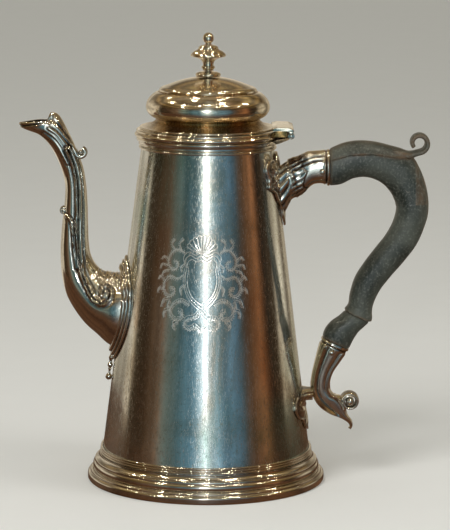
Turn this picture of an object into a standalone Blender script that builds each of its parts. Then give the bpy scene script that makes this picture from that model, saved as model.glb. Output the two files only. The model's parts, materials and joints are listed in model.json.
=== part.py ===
"""Silver coffee pot: tapering body on a moulded foot, hinged domed lid, swan-neck spout and wooden handle.

Lengths in this file are millimetres, and MM turns them into Blender's metres.  The pot stands on z = 0 with
its axis on Z, the spout towards -X and the handle towards +X.  Outlines are (x, z) points in the plane y = 0,
and turned profiles are (radius, z) points that run down the outer side.
"""
import math

import bmesh
import bpy
from mathutils import Matrix, Vector

MM = 0.001
GAP = 0.3                     # clearance that touching pieces keep

# Body
TOTAL_HEIGHT = 240.0
BODY_TOP = 185.1
BODY_BOTTOM = 1.8
BODY_RADIUS_AT_FOOT = 55.4    # outer radius where the cone leaves the foot
FOOT_TOP = 18.0
BODY_TAPER = 0.125            # radius lost for each millimetre of height
WALL = 1.2
BASE_THICKNESS = 1.5
FOOT_RING_TOP = 14.0
FOOT_REEDS = 3
RIM_BOTTOM = 180.4
RIM_WIDEST = 37.9
TURN_STEPS = 40
CUTTER_STEPS = 96
CUTTER_TOP = 205.0
CUTTER_BOTTOM = -20.0

# Spout
SPOUT_WALL = 1.3
SPOUT_SIDES = 16
COLLAR_THICKNESS = 3.0
COLLAR_CENTRE_Z = 92.5
COLLAR_HALF_HEIGHT = 28.0
COLLAR_HALF_WIDTH = 22.5
COLLAR_WAY_HALF_WIDTH = 15.5
COLLAR_WAY_HALF_HEIGHT = 17.0
STRAINER_HOLE_RADIUS = 1.8
STRAINER_PITCH = 7.5
STRAINER_RING_HOLES = 6
DROP_BOTTOM = 52.6

# Handle
HANDLE_SIDES = 16
PLATE_THICKNESS = 1.4
PIN_RADIUS = 1.2
PIN_HALF_LENGTH = 9.6
TENON_INSET = 1.9             # socket wall and clearance around the wooden tenons
SOCKET_WALL = 1.6
THUMB_SCROLL_CENTRE = (111.8, 181.8)

# Lid and hinge
HINGE_X = 43.9
HINGE_Z = 187.2
KNUCKLE_RADIUS = 1.7
HINGE_PIN_RADIUS = 0.8
KNUCKLE_COUNT = 5
KNUCKLE_PITCH = 6.0
LID_SEAT_Z = 185.4
LID_FLANGE_RADIUS = 38.8
LID_FLANGE_TOP = 188.9
LID_WALL = 1.1
LID_SKIRT_RADIUS = 36.2
FINIAL_STEPS = 24
FINIAL_BALL_RADIUS = 2.9
TANG_RADIUS = 1.5


# ---------------------------------------------------------------- scene and materials
def clear_scene():
    for obj in list(bpy.data.objects):
        bpy.data.objects.remove(obj, do_unlink=True)


def new_collection(name):
    collection = bpy.data.collections.new(name)
    bpy.context.scene.collection.children.link(collection)
    return collection


def new_material(name, colour, roughness, metallic):
    material = bpy.data.materials.new(name)
    material.use_nodes = True
    shader = material.node_tree.nodes["Principled BSDF"]
    shader.inputs["Base Color"].default_value = (*colour, 1.0)
    shader.inputs["Roughness"].default_value = roughness
    shader.inputs["Metallic"].default_value = metallic
    return material


clear_scene()
PARTS = new_collection("coffee_pot")
CUTTERS = new_collection("cutters")


def silver(name, roughness=0.22):
    return new_material(name + "_silver", (0.80, 0.78, 0.73), roughness, 1.0)


def ebonised_wood(name):
    return new_material(name + "_wood", (0.030, 0.030, 0.026), 0.38, 0.0)


# ---------------------------------------------------------------- modelling helpers
def add_object(name, mesh, material=None, smooth=True):
    """Put a mesh in the scene: a part when it has a material, otherwise a cutter."""
    obj = bpy.data.objects.new(name, mesh)
    if material is None:
        CUTTERS.objects.link(obj)
        obj.hide_render = True
        obj.display_type = "WIRE"
        return obj
    PARTS.objects.link(obj)
    mesh.materials.append(material)
    if smooth:
        mesh.shade_smooth()
    return obj


def mesh_from_bmesh(name, bm):
    bm.normal_update()
    bmesh.ops.recalc_face_normals(bm, faces=bm.faces)
    mesh = bpy.data.meshes.new(name)
    bm.to_mesh(mesh)
    bm.free()
    return mesh


def boolean(obj, other, operation):
    modifier = obj.modifiers.new(operation.title(), "BOOLEAN")
    modifier.operation = operation
    modifier.object = other
    modifier.solver = "EXACT"


def spin(obj, steps):
    """Turn a profile that lies at +X once about Z."""
    screw = obj.modifiers.new("Turn", "SCREW")
    screw.axis = "Z"
    screw.angle = math.tau
    screw.steps = steps
    screw.render_steps = steps
    screw.use_merge_vertices = True
    screw.merge_threshold = 0.00001


def turned(name, profile, material=None, ring=False, steps=TURN_STEPS):
    """A turned solid.  A ring's profile is a closed loop, any other starts and ends on the axis."""
    points = [(radius * MM, 0.0, z * MM) for radius, z in profile]
    edges = [(i, i + 1) for i in range(len(points) - 1)]
    if ring:
        edges.append((len(points) - 1, 0))
    mesh = bpy.data.meshes.new(name)
    mesh.from_pydata(points, edges, [])
    obj = add_object(name, mesh, material)
    spin(obj, steps)
    return obj


def turned_shell(name, profile, thickness, material, steps=TURN_STEPS):
    """An open turned sheet given its thickness inwards."""
    obj = turned(name, profile, material, steps=steps)
    solidify = obj.modifiers.new("Wall", "SOLIDIFY")
    solidify.thickness = thickness * MM
    solidify.offset = -1.0
    return obj


def arc(centre_r, centre_z, radius, start, end, count):
    """Points along an arc, with its angles in degrees from the outward direction."""
    points = []
    for i in range(count + 1):
        angle = math.radians(start + (end - start) * i / count)
        points.append((centre_r + radius * math.cos(angle), centre_z + radius * math.sin(angle)))
    return points


def cylinder(name, start, end, radius, material=None, sides=16):
    """A cylinder between two points."""
    start, end = Vector(start) * MM, Vector(end) * MM
    direction = end - start
    bm = bmesh.new()
    bmesh.ops.create_cone(bm, cap_ends=True, segments=sides, radius1=radius * MM, radius2=radius * MM,
                          depth=direction.length)
    turn = direction.to_track_quat("Z", "Y").to_matrix().to_4x4()
    bm.transform(Matrix.Translation((start + end) / 2) @ turn)
    return add_object(name, mesh_from_bmesh(name, bm), material)


def box(name, low, high, material=None):
    low, high = Vector(low) * MM, Vector(high) * MM
    bm = bmesh.new()
    bmesh.ops.create_cube(bm, size=1.0)
    size = high - low
    bm.transform(Matrix.Translation((low + high) / 2) @ Matrix.Diagonal((*size, 1.0)))
    return add_object(name, mesh_from_bmesh(name, bm), material, smooth=False)


def oval(upper, lower, half_width, sides, inset=0.0):
    """A ring of points around the line from lower to upper, which are (x, z) points of an outline."""
    centre = Vector(((upper[0] + lower[0]) / 2, 0.0, (upper[1] + lower[1]) / 2))
    half = Vector(((upper[0] - lower[0]) / 2, 0.0, (upper[1] - lower[1]) / 2))
    half *= (half.length - inset) / half.length
    across = Vector((0.0, half_width - inset, 0.0))
    angles = [math.tau * i / sides for i in range(sides)]
    return [centre + half * math.cos(a) + across * math.sin(a) for a in angles]


def loft(name, rings, material=None, closed=False):
    """Skin rings of points.  The ends are capped, or joined to each other where closed is set."""
    bm = bmesh.new()
    rows = [[bm.verts.new(point * MM) for point in ring] for ring in rings]
    pairs = list(zip(rows, rows[1:]))
    if closed:
        pairs.append((rows[-1], rows[0]))
    for row, following in pairs:
        for i in range(len(row)):
            j = (i + 1) % len(row)
            bm.faces.new((row[i], row[j], following[j], following[i]))
    if not closed:
        bm.faces.new(rows[0])
        bm.faces.new(rows[-1])
    return add_object(name, mesh_from_bmesh(name, bm), material)


def prism(name, outline, low_x, high_x, material=None):
    """A (y, z) outline carried along X."""
    rings = [[Vector((x, y, z)) for y, z in outline] for x in (low_x, high_x)]
    return loft(name, rings, material)


def mirrored(half):
    """Close an outline from its points on the +Y side, listed from top to bottom."""
    return half + [(-y, z) for y, z in reversed(half) if y > 0.0]


# ---------------------------------------------------------------- body
def body_radius(z):
    return BODY_RADIUS_AT_FOOT - (z - FOOT_TOP) * BODY_TAPER


def cone_cutter(name, offset):
    """The cone of the body, grown by an offset, that seats fittings on the body."""
    top, bottom = CUTTER_TOP, CUTTER_BOTTOM
    return turned(name, [(0.0, top), (body_radius(top) + offset, top),
                         (body_radius(bottom) + offset, bottom), (0.0, bottom)], steps=CUTTER_STEPS)


def cone_shell(name, inner, outer):
    """The space between two offsets of the body's cone."""
    top, bottom = CUTTER_TOP, CUTTER_BOTTOM
    return turned(name, [(body_radius(top) + outer, top), (body_radius(bottom) + outer, bottom),
                         (body_radius(bottom) + inner, bottom), (body_radius(top) + inner, top)],
                  ring=True, steps=CUTTER_STEPS)


def make_barrel():
    barrel = turned("body_barrel", [
        (body_radius(BODY_TOP), BODY_TOP), (body_radius(BODY_BOTTOM), BODY_BOTTOM),
        (body_radius(BODY_BOTTOM) - WALL, BODY_BOTTOM), (body_radius(BODY_TOP) - WALL, BODY_TOP),
    ], silver("body_barrel"), ring=True)
    places = [(0.0, 0.0)]
    for i in range(STRAINER_RING_HOLES):
        angle = math.tau * i / STRAINER_RING_HOLES
        places.append((STRAINER_PITCH * math.cos(angle), STRAINER_PITCH * math.sin(angle)))
    for index, (y, dz) in enumerate(places):
        z = COLLAR_CENTRE_Z + dz
        ends = (-60.0, y, z), (-30.0, y, z)
        hole = cylinder(f"strainer_hole_{index}", *ends, STRAINER_HOLE_RADIUS, sides=8)
        boolean(barrel, hole, "DIFFERENCE")


def make_base_plate():
    radius = body_radius(BODY_BOTTOM)
    profile = [(0.0, BASE_THICKNESS), (radius, BASE_THICKNESS), (radius, 0.0), (0.0, 0.0)]
    turned("base_plate", profile, silver("base_plate"))


def make_foot_moulding():
    outer = [(57.4, FOOT_RING_TOP), (57.5, 13.0), (58.1, 11.4), (59.3, 10.3)]
    outer += arc(57.6, 7.9, 2.9, 40, -40, 4)
    outer += [(61.4, 5.6), (61.9, 5.0), (62.9, 4.6), (63.7, 3.9), (63.7, 0.4), (63.3, 0.0)]
    inner = [(body_radius(0.0) + GAP, 0.0), (body_radius(FOOT_RING_TOP) + GAP, FOOT_RING_TOP)]
    turned("foot_moulding", outer + inner, silver("foot_moulding"), ring=True)


def make_foot_reeds():
    low, high = FOOT_RING_TOP + GAP, FOOT_TOP - 0.1
    pitch = (high - low) / FOOT_REEDS
    outer = []
    for i in range(FOOT_REEDS):
        top = high - i * pitch
        for step in (0.08, 0.35, 0.65, 0.92):
            z = top - step * pitch
            bulge = 0.55 * math.sin(math.pi * step)
            outer.append((body_radius(z) + 0.75 + bulge, z))
    inner = [(body_radius(low) + GAP, low), (body_radius(high) + GAP, high)]
    turned("foot_reed_wire", outer + inner, silver("foot_reed_wire"), ring=True)


def make_rim():
    outer = [(36.6, BODY_TOP), (37.6, 184.7), (RIM_WIDEST, 184.0), (37.6, 183.3), (36.7, 182.9), (36.5, 182.1),
             (36.2, 180.9), (36.0, RIM_BOTTOM)]
    inner = [(body_radius(RIM_BOTTOM) + GAP, RIM_BOTTOM), (body_radius(BODY_TOP) + GAP, BODY_TOP)]
    turned("rim_moulding", outer + inner, silver("rim_moulding"), ring=True)
    wire = 0.55
    centre_z = RIM_BOTTOM - 1.0
    centre_r = body_radius(centre_z) + GAP + wire + 0.05
    profile = arc(centre_r, centre_z, wire, 150, -150, 5)
    turned("rim_bead", profile, silver("rim_bead"), ring=True)


# ---------------------------------------------------------------- spout
# Each station is (point on the inner curve, point on the outer curve, half width).
SPOUT_STATIONS = [
    ((-36.0, 112.0), (-40.0, 72.0), 18.5),
    ((-47.5, 111.2), (-52.2, 72.6), 18.0),
    ((-51.8, 111.6), (-58.8, 78.3), 16.0),
    ((-55.6, 112.4), (-65.0, 83.9), 14.0),
    ((-58.6, 115.0), (-71.1, 92.0), 12.0),
    ((-60.8, 118.2), (-75.2, 99.8), 10.4),
    ((-62.4, 122.4), (-77.4, 109.2), 9.2),
    ((-63.1, 128.0), (-78.2, 120.4), 8.3),
    ((-63.5, 138.0), (-77.6, 135.0), 7.4),
    ((-63.8, 150.0), (-76.0, 149.5), 6.6),
    ((-64.6, 160.0), (-75.8, 159.4), 6.2),
    ((-65.9, 167.5), (-77.2, 165.8), 6.1),
    ((-67.7, 173.0), (-79.4, 171.6), 6.2),
    ((-70.2, 179.2), (-82.4, 177.6), 6.4),
    ((-73.0, 185.3), (-85.9, 182.8), 6.7),
    ((-76.0, 190.6), (-90.0, 186.4), 6.9),
    ((-79.2, 194.8), (-94.8, 188.6), 6.6),
    ((-81.4, 196.2), (-99.1, 191.2), 5.9),
]


def make_spout():
    outer = [oval(inner, outer, width, SPOUT_SIDES) for inner, outer, width in SPOUT_STATIONS]
    bore = [oval(inner, outer, width, SPOUT_SIDES, SPOUT_WALL) for inner, outer, width in SPOUT_STATIONS]
    spout = loft("spout", outer + bore[::-1], silver("spout"), closed=True)
    boolean(spout, cone_cutter("spout_seat", COLLAR_THICKNESS + 2 * GAP), "DIFFERENCE")


def ellipse_outline(centre_z, half_width, half_height, count):
    angles = [math.tau * i / count for i in range(count)]
    return [(half_width * math.sin(a), centre_z + half_height * math.cos(a)) for a in angles]


def make_spout_collar():
    outline = ellipse_outline(COLLAR_CENTRE_Z, COLLAR_HALF_WIDTH, COLLAR_HALF_HEIGHT, 28)
    collar = prism("spout_collar", outline, -62.0, -20.0, silver("spout_collar"))
    boolean(collar, cone_shell("collar_space", GAP, COLLAR_THICKNESS + GAP), "INTERSECT")
    way = ellipse_outline(COLLAR_CENTRE_Z, COLLAR_WAY_HALF_WIDTH, COLLAR_WAY_HALF_HEIGHT, 20)
    boolean(collar, prism("collar_way", way, -70.0, -10.0), "DIFFERENCE")


def make_spout_curls():
    """The two scroll knobs that stand off the neck, one behind the head and one on the front leaf."""
    cylinder("spout_back_curl", (-66.6, -3.4, 178.2), (-66.6, 3.4, 178.2), 2.6, silver("spout_back_curl"))
    cylinder("spout_front_curl", (-78.8, -3.2, 145.6), (-78.8, 3.2, 145.6), 2.2, silver("spout_front_curl"))


def make_spout_drop():
    """A small pendant: a bead, a waist and a ball, turned on a line along the body."""
    profile = [(0.0, 9.6), (0.9, 9.4), (1.3, 8.4), (0.9, 7.2), (0.6, 5.6), (0.7, 4.0)]
    profile += arc(0.0, 2.0, 1.75, 60, -60, 4) + [(0.0, 0.1)]
    drop = turned("spout_drop", profile, silver("spout_drop"), steps=12)
    drop.location = Vector((-(body_radius(DROP_BOTTOM) + GAP + 2.0), 0.0, DROP_BOTTOM)) * MM
    drop.rotation_euler = (0.0, math.atan(BODY_TAPER), 0.0)


# ---------------------------------------------------------------- handle and its sockets
UPPER_PIN = (60.7, 167.5)
LOWER_PIN = (66.9, 70.1)

# From the mouth towards the body: (upper point, lower point, half width).
UPPER_SOCKET = [
    ((64.8, 178.2), (64.8, 159.2), 8.4),
    ((58.5, 177.9), (58.5, 160.2), 8.2),
    ((53.2, 177.2), (54.6, 158.4), 8.0),
    ((49.4, 175.0), (50.8, 155.0), 7.6),
    ((45.2, 173.4), (46.8, 152.8), 7.2),
    ((41.6, 171.4), (43.6, 150.0), 8.0),
    ((30.0, 166.0), (32.0, 146.0), 9.0),
]
UPPER_CUP = [UPPER_SOCKET[0], ((53.6, 176.4), (54.6, 159.6), 7.8)]

# From the mouth down to the tail of the scroll: (point away from the body, point towards it, half width).
LOWER_SOCKET = [
    ((76.3, 71.0), (62.0, 77.4), 8.0),
    ((71.3, 63.7), (59.9, 69.5), 7.0),
    ((67.6, 58.2), (58.4, 63.0), 6.2),
    ((65.5, 52.6), (56.9, 55.8), 5.8),
    ((66.0, 48.4), (56.4, 50.0), 5.8),
    ((67.6, 45.2), (57.8, 44.6), 5.8),
    ((69.6, 42.4), (60.8, 39.8), 5.6),
    ((71.0, 40.0), (65.4, 36.2), 5.2),
    ((73.0, 37.0), (70.0, 34.0), 4.6),
    ((76.0, 35.0), (74.2, 32.2), 3.6),
    ((79.0, 31.6), (77.0, 30.2), 2.4),
    ((78.2, 26.8), (76.6, 27.0), 1.2),
]
LOWER_CUP = [LOWER_SOCKET[0], ((72.2, 65.2), (60.6, 70.6), 7.0)]

# From the upper socket to the lower one: (point on the outer curve, point on the inner curve, half width).
HANDLE_STATIONS = [
    ((65.1, 178.2), (65.1, 159.2), 8.4),
    ((72.2, 181.2), (70.8, 160.0), 8.6),
    ((80.1, 182.5), (77.6, 163.2), 8.6),
    ((88.1, 182.0), (84.0, 163.9), 8.5),
    ((96.4, 180.1), (90.4, 162.0), 8.5),
    ((104.2, 177.9), (94.2, 159.4), 8.4),
    ((110.2, 177.4), (97.0, 156.6), 8.4),
    ((112.6, 169.4), (98.8, 153.8), 8.3),
    ((116.4, 158.6), (100.2, 149.8), 8.2),
    ((117.6, 150.6), (100.6, 147.2), 8.2),
    ((117.4, 144.6), (100.2, 144.4), 8.1),
    ((115.4, 137.0), (98.8, 139.8), 8.0),
    ((111.6, 128.0), (95.4, 133.0), 7.8),
    ((105.0, 118.8), (89.8, 125.6), 7.6),
    ((97.6, 110.0), (83.6, 117.2), 7.4),
    ((92.2, 102.6), (79.0, 109.4), 7.3),
    ((88.9, 95.0), (76.6, 101.2), 7.2),
    ((87.6, 86.4), (76.3, 92.4), 7.1),
    ((85.2, 83.6), (71.6, 89.0), 7.2),
    ((81.4, 81.0), (66.8, 85.8), 7.6),
    ((78.4, 76.2), (63.2, 81.6), 8.0),
    ((76.4, 71.4), (62.2, 77.8), 8.0),
]


def shifted(station, dx, dz):
    upper, lower, width = station
    return (upper[0] + dx, upper[1] + dz), (lower[0] + dx, lower[1] + dz), width


def socket(name, stations, cup):
    """A cast socket: the outer rings from its far end to the mouth, then the cup down to its floor."""
    outer = [oval(*station, HANDLE_SIDES) for station in reversed(stations)]
    hollow = [oval(*station, HANDLE_SIDES, SOCKET_WALL) for station in cup]
    return loft(name, outer + hollow, silver(name))


def pin_hole(obj, name, place, radius):
    x, z = place
    hole = cylinder(name, (x, -20.0, z), (x, 20.0, z), radius, sides=12)
    boolean(obj, hole, "DIFFERENCE")


def make_upper_socket():
    upper = socket("upper_socket", UPPER_SOCKET, UPPER_CUP)
    boolean(upper, cone_cutter("upper_seat", PLATE_THICKNESS + 2 * GAP), "DIFFERENCE")
    pin_hole(upper, "upper_socket_pin_hole", UPPER_PIN, PIN_RADIUS + GAP)


def make_lower_socket():
    lower = socket("lower_socket", LOWER_SOCKET, LOWER_CUP)
    pin_hole(lower, "lower_socket_pin_hole", LOWER_PIN, PIN_RADIUS + GAP)
    cylinder("lower_volute", (77.3, -5.2, 42.3), (77.3, 5.2, 42.3), 4.9, silver("lower_volute"), sides=20)


def plate_on_body(name, half_outline, low_x, high_x):
    """A thin cut plate that follows the body's surface."""
    plate = prism(name, mirrored(half_outline), low_x, high_x, silver(name))
    boolean(plate, cone_shell(name + "_space", GAP, PLATE_THICKNESS + GAP), "INTERSECT")
    return plate


def make_body_plates():
    plate_on_body("upper_socket_leaf", [
        (0.0, 177.4), (5.0, 176.4), (10.0, 172.6), (16.0, 174.6), (20.0, 170.0), (20.6, 163.6), (17.0, 158.6),
        (12.0, 154.0), (8.0, 147.4), (4.4, 141.6), (0.0, 137.6),
    ], 20.0, 60.0)
    plate_on_body("lower_shield", [
        (0.0, 42.6), (16.4, 42.6), (18.6, 47.8), (22.6, 46.6), (23.6, 42.0), (20.0, 36.6), (12.0, 30.6),
        (0.0, 26.6),
    ], 30.0, 70.0)


def make_strut():
    """The flared bracket between the body and the lower socket."""
    outline = [(47.0, 15.0), (52.0, 11.0), (55.8, 5.6)]
    rings = []
    for x, half_width in outline:
        rings.append([Vector((x, y, z)) for y, z in (
            (half_width, 44.0), (half_width, 48.4), (half_width - 1.0, 49.3), (1.0 - half_width, 49.3),
            (-half_width, 48.4), (-half_width, 44.0), (1.0 - half_width, 43.0), (half_width - 1.0, 43.0))])
    strut = loft("lower_strut", rings, silver("lower_strut"))
    boolean(strut, cone_cutter("strut_seat", GAP), "DIFFERENCE")


def make_handle():
    """One piece of wood with a tenon at each end and a thumb scroll on its shoulder."""
    upper_floor = shifted(UPPER_CUP[1], GAP, 0.0)
    lower_floor = shifted(LOWER_CUP[1], GAP, GAP)
    first, last = HANDLE_STATIONS[0], HANDLE_STATIONS[-1]
    rings = [oval(*upper_floor, HANDLE_SIDES, TENON_INSET), oval(*first, HANDLE_SIDES, TENON_INSET)]
    rings += [oval(*station, HANDLE_SIDES) for station in HANDLE_STATIONS]
    rings += [oval(*last, HANDLE_SIDES, TENON_INSET), oval(*lower_floor, HANDLE_SIDES, TENON_INSET)]
    grip = loft("handle_grip", rings, ebonised_wood("handle_grip"))
    scroll = thumb_scroll("thumb_scroll", THUMB_SCROLL_CENTRE, 3.9, 1.15, 6.0)
    boolean(grip, scroll, "UNION")
    pin_hole(grip, "upper_tenon_hole", UPPER_PIN, PIN_RADIUS + GAP)
    pin_hole(grip, "lower_tenon_hole", LOWER_PIN, PIN_RADIUS + GAP)


def thumb_scroll(name, centre, radius, half_thickness, half_width):
    """A short tube with its axis along Y, open at both ends."""
    profile = [(radius + half_thickness, half_width), (radius + half_thickness, -half_width),
               (radius - half_thickness, -half_width), (radius - half_thickness, half_width)]
    tube = turned(name, profile, ring=True, steps=20)
    tube.rotation_euler = (math.pi / 2, 0.0, 0.0)
    tube.location = Vector((centre[0], 0.0, centre[1])) * MM
    return tube


def make_handle_pins():
    for name, (x, z) in (("upper_socket_pin", UPPER_PIN), ("lower_socket_pin", LOWER_PIN)):
        ends = (x, -PIN_HALF_LENGTH, z), (x, PIN_HALF_LENGTH, z)
        cylinder(name, *ends, PIN_RADIUS, silver(name), sides=12)


# ---------------------------------------------------------------- hinge
def knuckle_span(index):
    """The y range of one knuckle, counted from the near end."""
    low = (index - KNUCKLE_COUNT / 2) * KNUCKLE_PITCH
    return low + GAP / 2, low + KNUCKLE_PITCH - GAP / 2


def upright_cylinder(name, radius):
    """A cutter on the pot's own axis, through the height of the hinge."""
    profile = [(0.0, 200.0), (radius, 200.0), (radius, 170.0), (0.0, 170.0)]
    return turned(name, profile, steps=CUTTER_STEPS)


def add_knuckles(leaf, indices, web_low, web_high):
    """Join knuckles, and the webs that carry them, to a leaf, then drill them for the pin."""
    for index in indices:
        low, high = knuckle_span(index)
        name = f"{leaf.name}_knuckle_{index}"
        knuckle = cylinder(name, (HINGE_X, low, HINGE_Z), (HINGE_X, high, HINGE_Z), KNUCKLE_RADIUS)
        boolean(leaf, knuckle, "UNION")
        web = box(name + "_web", (HINGE_X - 1.1, low, web_low), (HINGE_X + 1.0, high, web_high))
        boolean(leaf, web, "UNION")
    ends = (HINGE_X, -20.0, HINGE_Z), (HINGE_X, 20.0, HINGE_Z)
    boolean(leaf, cylinder(leaf.name + "_drill", *ends, HINGE_PIN_RADIUS + GAP, sides=12), "DIFFERENCE")


def make_hinge():
    half = KNUCKLE_COUNT * KNUCKLE_PITCH / 2 - GAP / 2
    body_leaf = box("hinge_body_leaf", (30.0, -half, 182.6), (44.6, half, 184.8), silver("hinge_body_leaf"))
    boolean(body_leaf, upright_cylinder("rim_clearance", RIM_WIDEST + GAP), "DIFFERENCE")
    add_knuckles(body_leaf, (1, 3), 184.0, 186.0)
    lid_leaf = box("hinge_lid_leaf", (32.0, -half, LID_FLANGE_TOP + GAP), (HINGE_X, half, 191.4),
                   silver("hinge_lid_leaf"))
    boolean(lid_leaf, upright_cylinder("skirt_clearance", LID_SKIRT_RADIUS + GAP), "DIFFERENCE")
    add_knuckles(lid_leaf, (0, 2, 4), 188.2, 189.8)
    ends = (HINGE_X, -half - 0.6, HINGE_Z), (HINGE_X, half + 0.6, HINGE_Z)
    cylinder("hinge_pin", *ends, HINGE_PIN_RADIUS, silver("hinge_pin"), sides=12)


# ---------------------------------------------------------------- lid
def make_lid():
    flange = [(36.8, LID_FLANGE_TOP), (38.3, 188.6), (LID_FLANGE_RADIUS, 187.9), (LID_FLANGE_RADIUS, 186.2),
              (38.2, LID_SEAT_Z), (33.3, LID_SEAT_Z), (33.3, LID_FLANGE_TOP)]
    turned("lid_flange", flange, silver("lid_flange"), ring=True)
    bezel = [(32.9, 188.6), (32.9, 181.6), (31.9, 181.6), (31.9, 188.6)]
    turned("lid_bezel", bezel, silver("lid_bezel"), ring=True)
    dome = [(2.2, 216.6), (8.0, 216.2), (15.0, 214.6), (21.5, 212.0), (25.8, 209.8), (28.6, 208.3)]
    dome += [(31.2, 206.0), (32.6, 203.2), (32.8, 200.4), (31.8, 197.6), (29.6, 195.6), (27.6, 194.6)]
    dome += [(27.6, 193.6), (29.4, 192.4), (32.4, 191.4), (LID_SKIRT_RADIUS, LID_FLANGE_TOP + LID_WALL + 0.5)]
    turned_shell("lid_dome", dome, LID_WALL, silver("lid_dome"))


def make_finial():
    collar = [(3.0, 219.6), (6.0, 219.0), (6.75, 218.2), (6.4, 217.4), (6.9, 216.9)]
    collar += [(TANG_RADIUS + GAP, 216.9), (TANG_RADIUS + GAP, 219.6)]
    turned("finial_collar", collar, silver("finial_collar"), ring=True, steps=FINIAL_STEPS)
    ball_z = TOTAL_HEIGHT - FINIAL_BALL_RADIUS
    knop = [(0.0, TOTAL_HEIGHT)] + arc(0.0, ball_z, FINIAL_BALL_RADIUS, 72, -56, 7)
    knop += [(1.7, 233.6), (3.2, 232.6), (5.0, 230.6), (8.6, 229.2), (9.4, 228.4), (9.0, 227.4), (5.0, 225.6),
             (3.2, 223.8), (2.6, 221.8), (3.4, 220.6), (3.4, 219.9), (TANG_RADIUS, 219.9)]
    knop += [(TANG_RADIUS, 210.4), (0.0, 210.4)]
    turned("finial_knop", knop, silver("finial_knop"), steps=FINIAL_STEPS)
    nut = [(4.4, 214.6), (4.6, 212.0), (TANG_RADIUS + GAP, 212.0), (TANG_RADIUS + GAP, 214.6)]
    turned("finial_nut", nut, silver("finial_nut"), ring=True, steps=12)


# ---------------------------------------------------------------- assembly
def hang_lid_on_hinge():
    """Parent the lid's pieces to an empty on the hinge axis."""
    axis = bpy.data.objects.new("lid_hinge_axis", None)
    axis.location = Vector((HINGE_X, 0.0, HINGE_Z)) * MM
    PARTS.objects.link(axis)
    bpy.context.view_layer.update()
    for name in ("lid_flange", "lid_bezel", "lid_dome", "hinge_lid_leaf", "finial_collar", "finial_knop",
                 "finial_nut"):
        piece = bpy.data.objects[name]
        piece.parent = axis
        piece.matrix_parent_inverse = axis.matrix_world.inverted()


def main():
    make_barrel()
    make_base_plate()
    make_foot_moulding()
    make_foot_reeds()
    make_rim()
    make_spout()
    make_spout_collar()
    make_spout_curls()
    make_spout_drop()
    make_upper_socket()
    make_lower_socket()
    make_body_plates()
    make_strut()
    make_handle()
    make_handle_pins()
    make_hinge()
    make_lid()
    make_finial()
    hang_lid_on_hinge()


main()
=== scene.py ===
"""The looks of the silver coffee pot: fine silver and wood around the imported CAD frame.

Lengths are millimetres and MM turns them into metres.  The frame's origin is on the table under the
body's axis, with +X towards the handle and the camera at -Y.  Outlines are (x, z) points and turned
profiles are (radius, z) points.
"""

import json
import math

import bpy
import numpy as np
from mathutils import Matrix, Vector


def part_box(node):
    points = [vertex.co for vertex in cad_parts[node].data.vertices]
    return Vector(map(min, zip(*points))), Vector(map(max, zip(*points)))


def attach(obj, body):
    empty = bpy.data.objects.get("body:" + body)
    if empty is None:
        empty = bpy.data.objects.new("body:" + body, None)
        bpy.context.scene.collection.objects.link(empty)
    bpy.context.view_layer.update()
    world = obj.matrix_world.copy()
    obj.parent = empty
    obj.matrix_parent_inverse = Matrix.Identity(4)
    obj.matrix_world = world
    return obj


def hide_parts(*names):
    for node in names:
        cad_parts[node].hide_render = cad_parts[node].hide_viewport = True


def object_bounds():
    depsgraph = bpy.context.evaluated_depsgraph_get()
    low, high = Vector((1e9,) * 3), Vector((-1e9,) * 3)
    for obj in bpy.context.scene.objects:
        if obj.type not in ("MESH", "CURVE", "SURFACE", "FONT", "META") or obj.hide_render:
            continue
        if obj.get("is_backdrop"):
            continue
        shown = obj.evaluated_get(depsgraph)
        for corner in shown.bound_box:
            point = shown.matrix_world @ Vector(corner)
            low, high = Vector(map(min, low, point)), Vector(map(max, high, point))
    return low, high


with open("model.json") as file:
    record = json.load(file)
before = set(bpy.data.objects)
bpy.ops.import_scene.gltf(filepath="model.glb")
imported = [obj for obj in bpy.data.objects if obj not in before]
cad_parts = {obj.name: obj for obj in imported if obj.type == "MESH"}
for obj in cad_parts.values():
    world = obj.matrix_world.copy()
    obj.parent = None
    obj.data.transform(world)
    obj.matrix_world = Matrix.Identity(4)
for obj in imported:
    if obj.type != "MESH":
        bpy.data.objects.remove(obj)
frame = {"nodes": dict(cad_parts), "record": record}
cad_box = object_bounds()

MM = 0.001
TURN_STEPS = 192
TIP = 0.02  # the radius at the ends of a turned solid, where its cap closes it

# For each finish: its material slot, and the body its pieces ride on.
FINISHES = {
    "body": ("silver_body", "pot"),
    "moulding": ("silver_mouldings", "pot"),
    "cast": ("silver_castings", "pot"),
    "lid": ("silver_lid", "lid"),
    "wood": ("ebonised_wood", "pot"),
}


# ---------------------------------------------------------------- reading the frame
def node_box(node):
    low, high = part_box(node)
    return np.array(low) / MM, np.array(high) / MM


def middle_of(node):
    """The middle of a CAD node in x and z."""
    low, high = node_box(node)
    return (low[0] + high[0]) / 2, (low[2] + high[2]) / 2


def ring_radius(node, z):
    """The largest radius of a turned CAD node near a height."""
    points = np.array([v.co for v in frame["nodes"][node].data.vertices]) / MM
    near = points[np.abs(points[:, 2] - z) < 0.5]
    return float(np.hypot(near[:, 0], near[:, 1]).max())


BODY_LOW, BODY_HIGH = node_box("body_barrel")
BODY_BOTTOM, BODY_TOP = BODY_LOW[2], BODY_HIGH[2]
BOTTOM_RADIUS = ring_radius("body_barrel", BODY_BOTTOM)
TOP_RADIUS = ring_radius("body_barrel", BODY_TOP)
TAPER = (BOTTOM_RADIUS - TOP_RADIUS) / (BODY_TOP - BODY_BOTTOM)
WALL = 1.2


def body_radius(z):
    return BOTTOM_RADIUS - (z - BODY_BOTTOM) * TAPER


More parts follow.
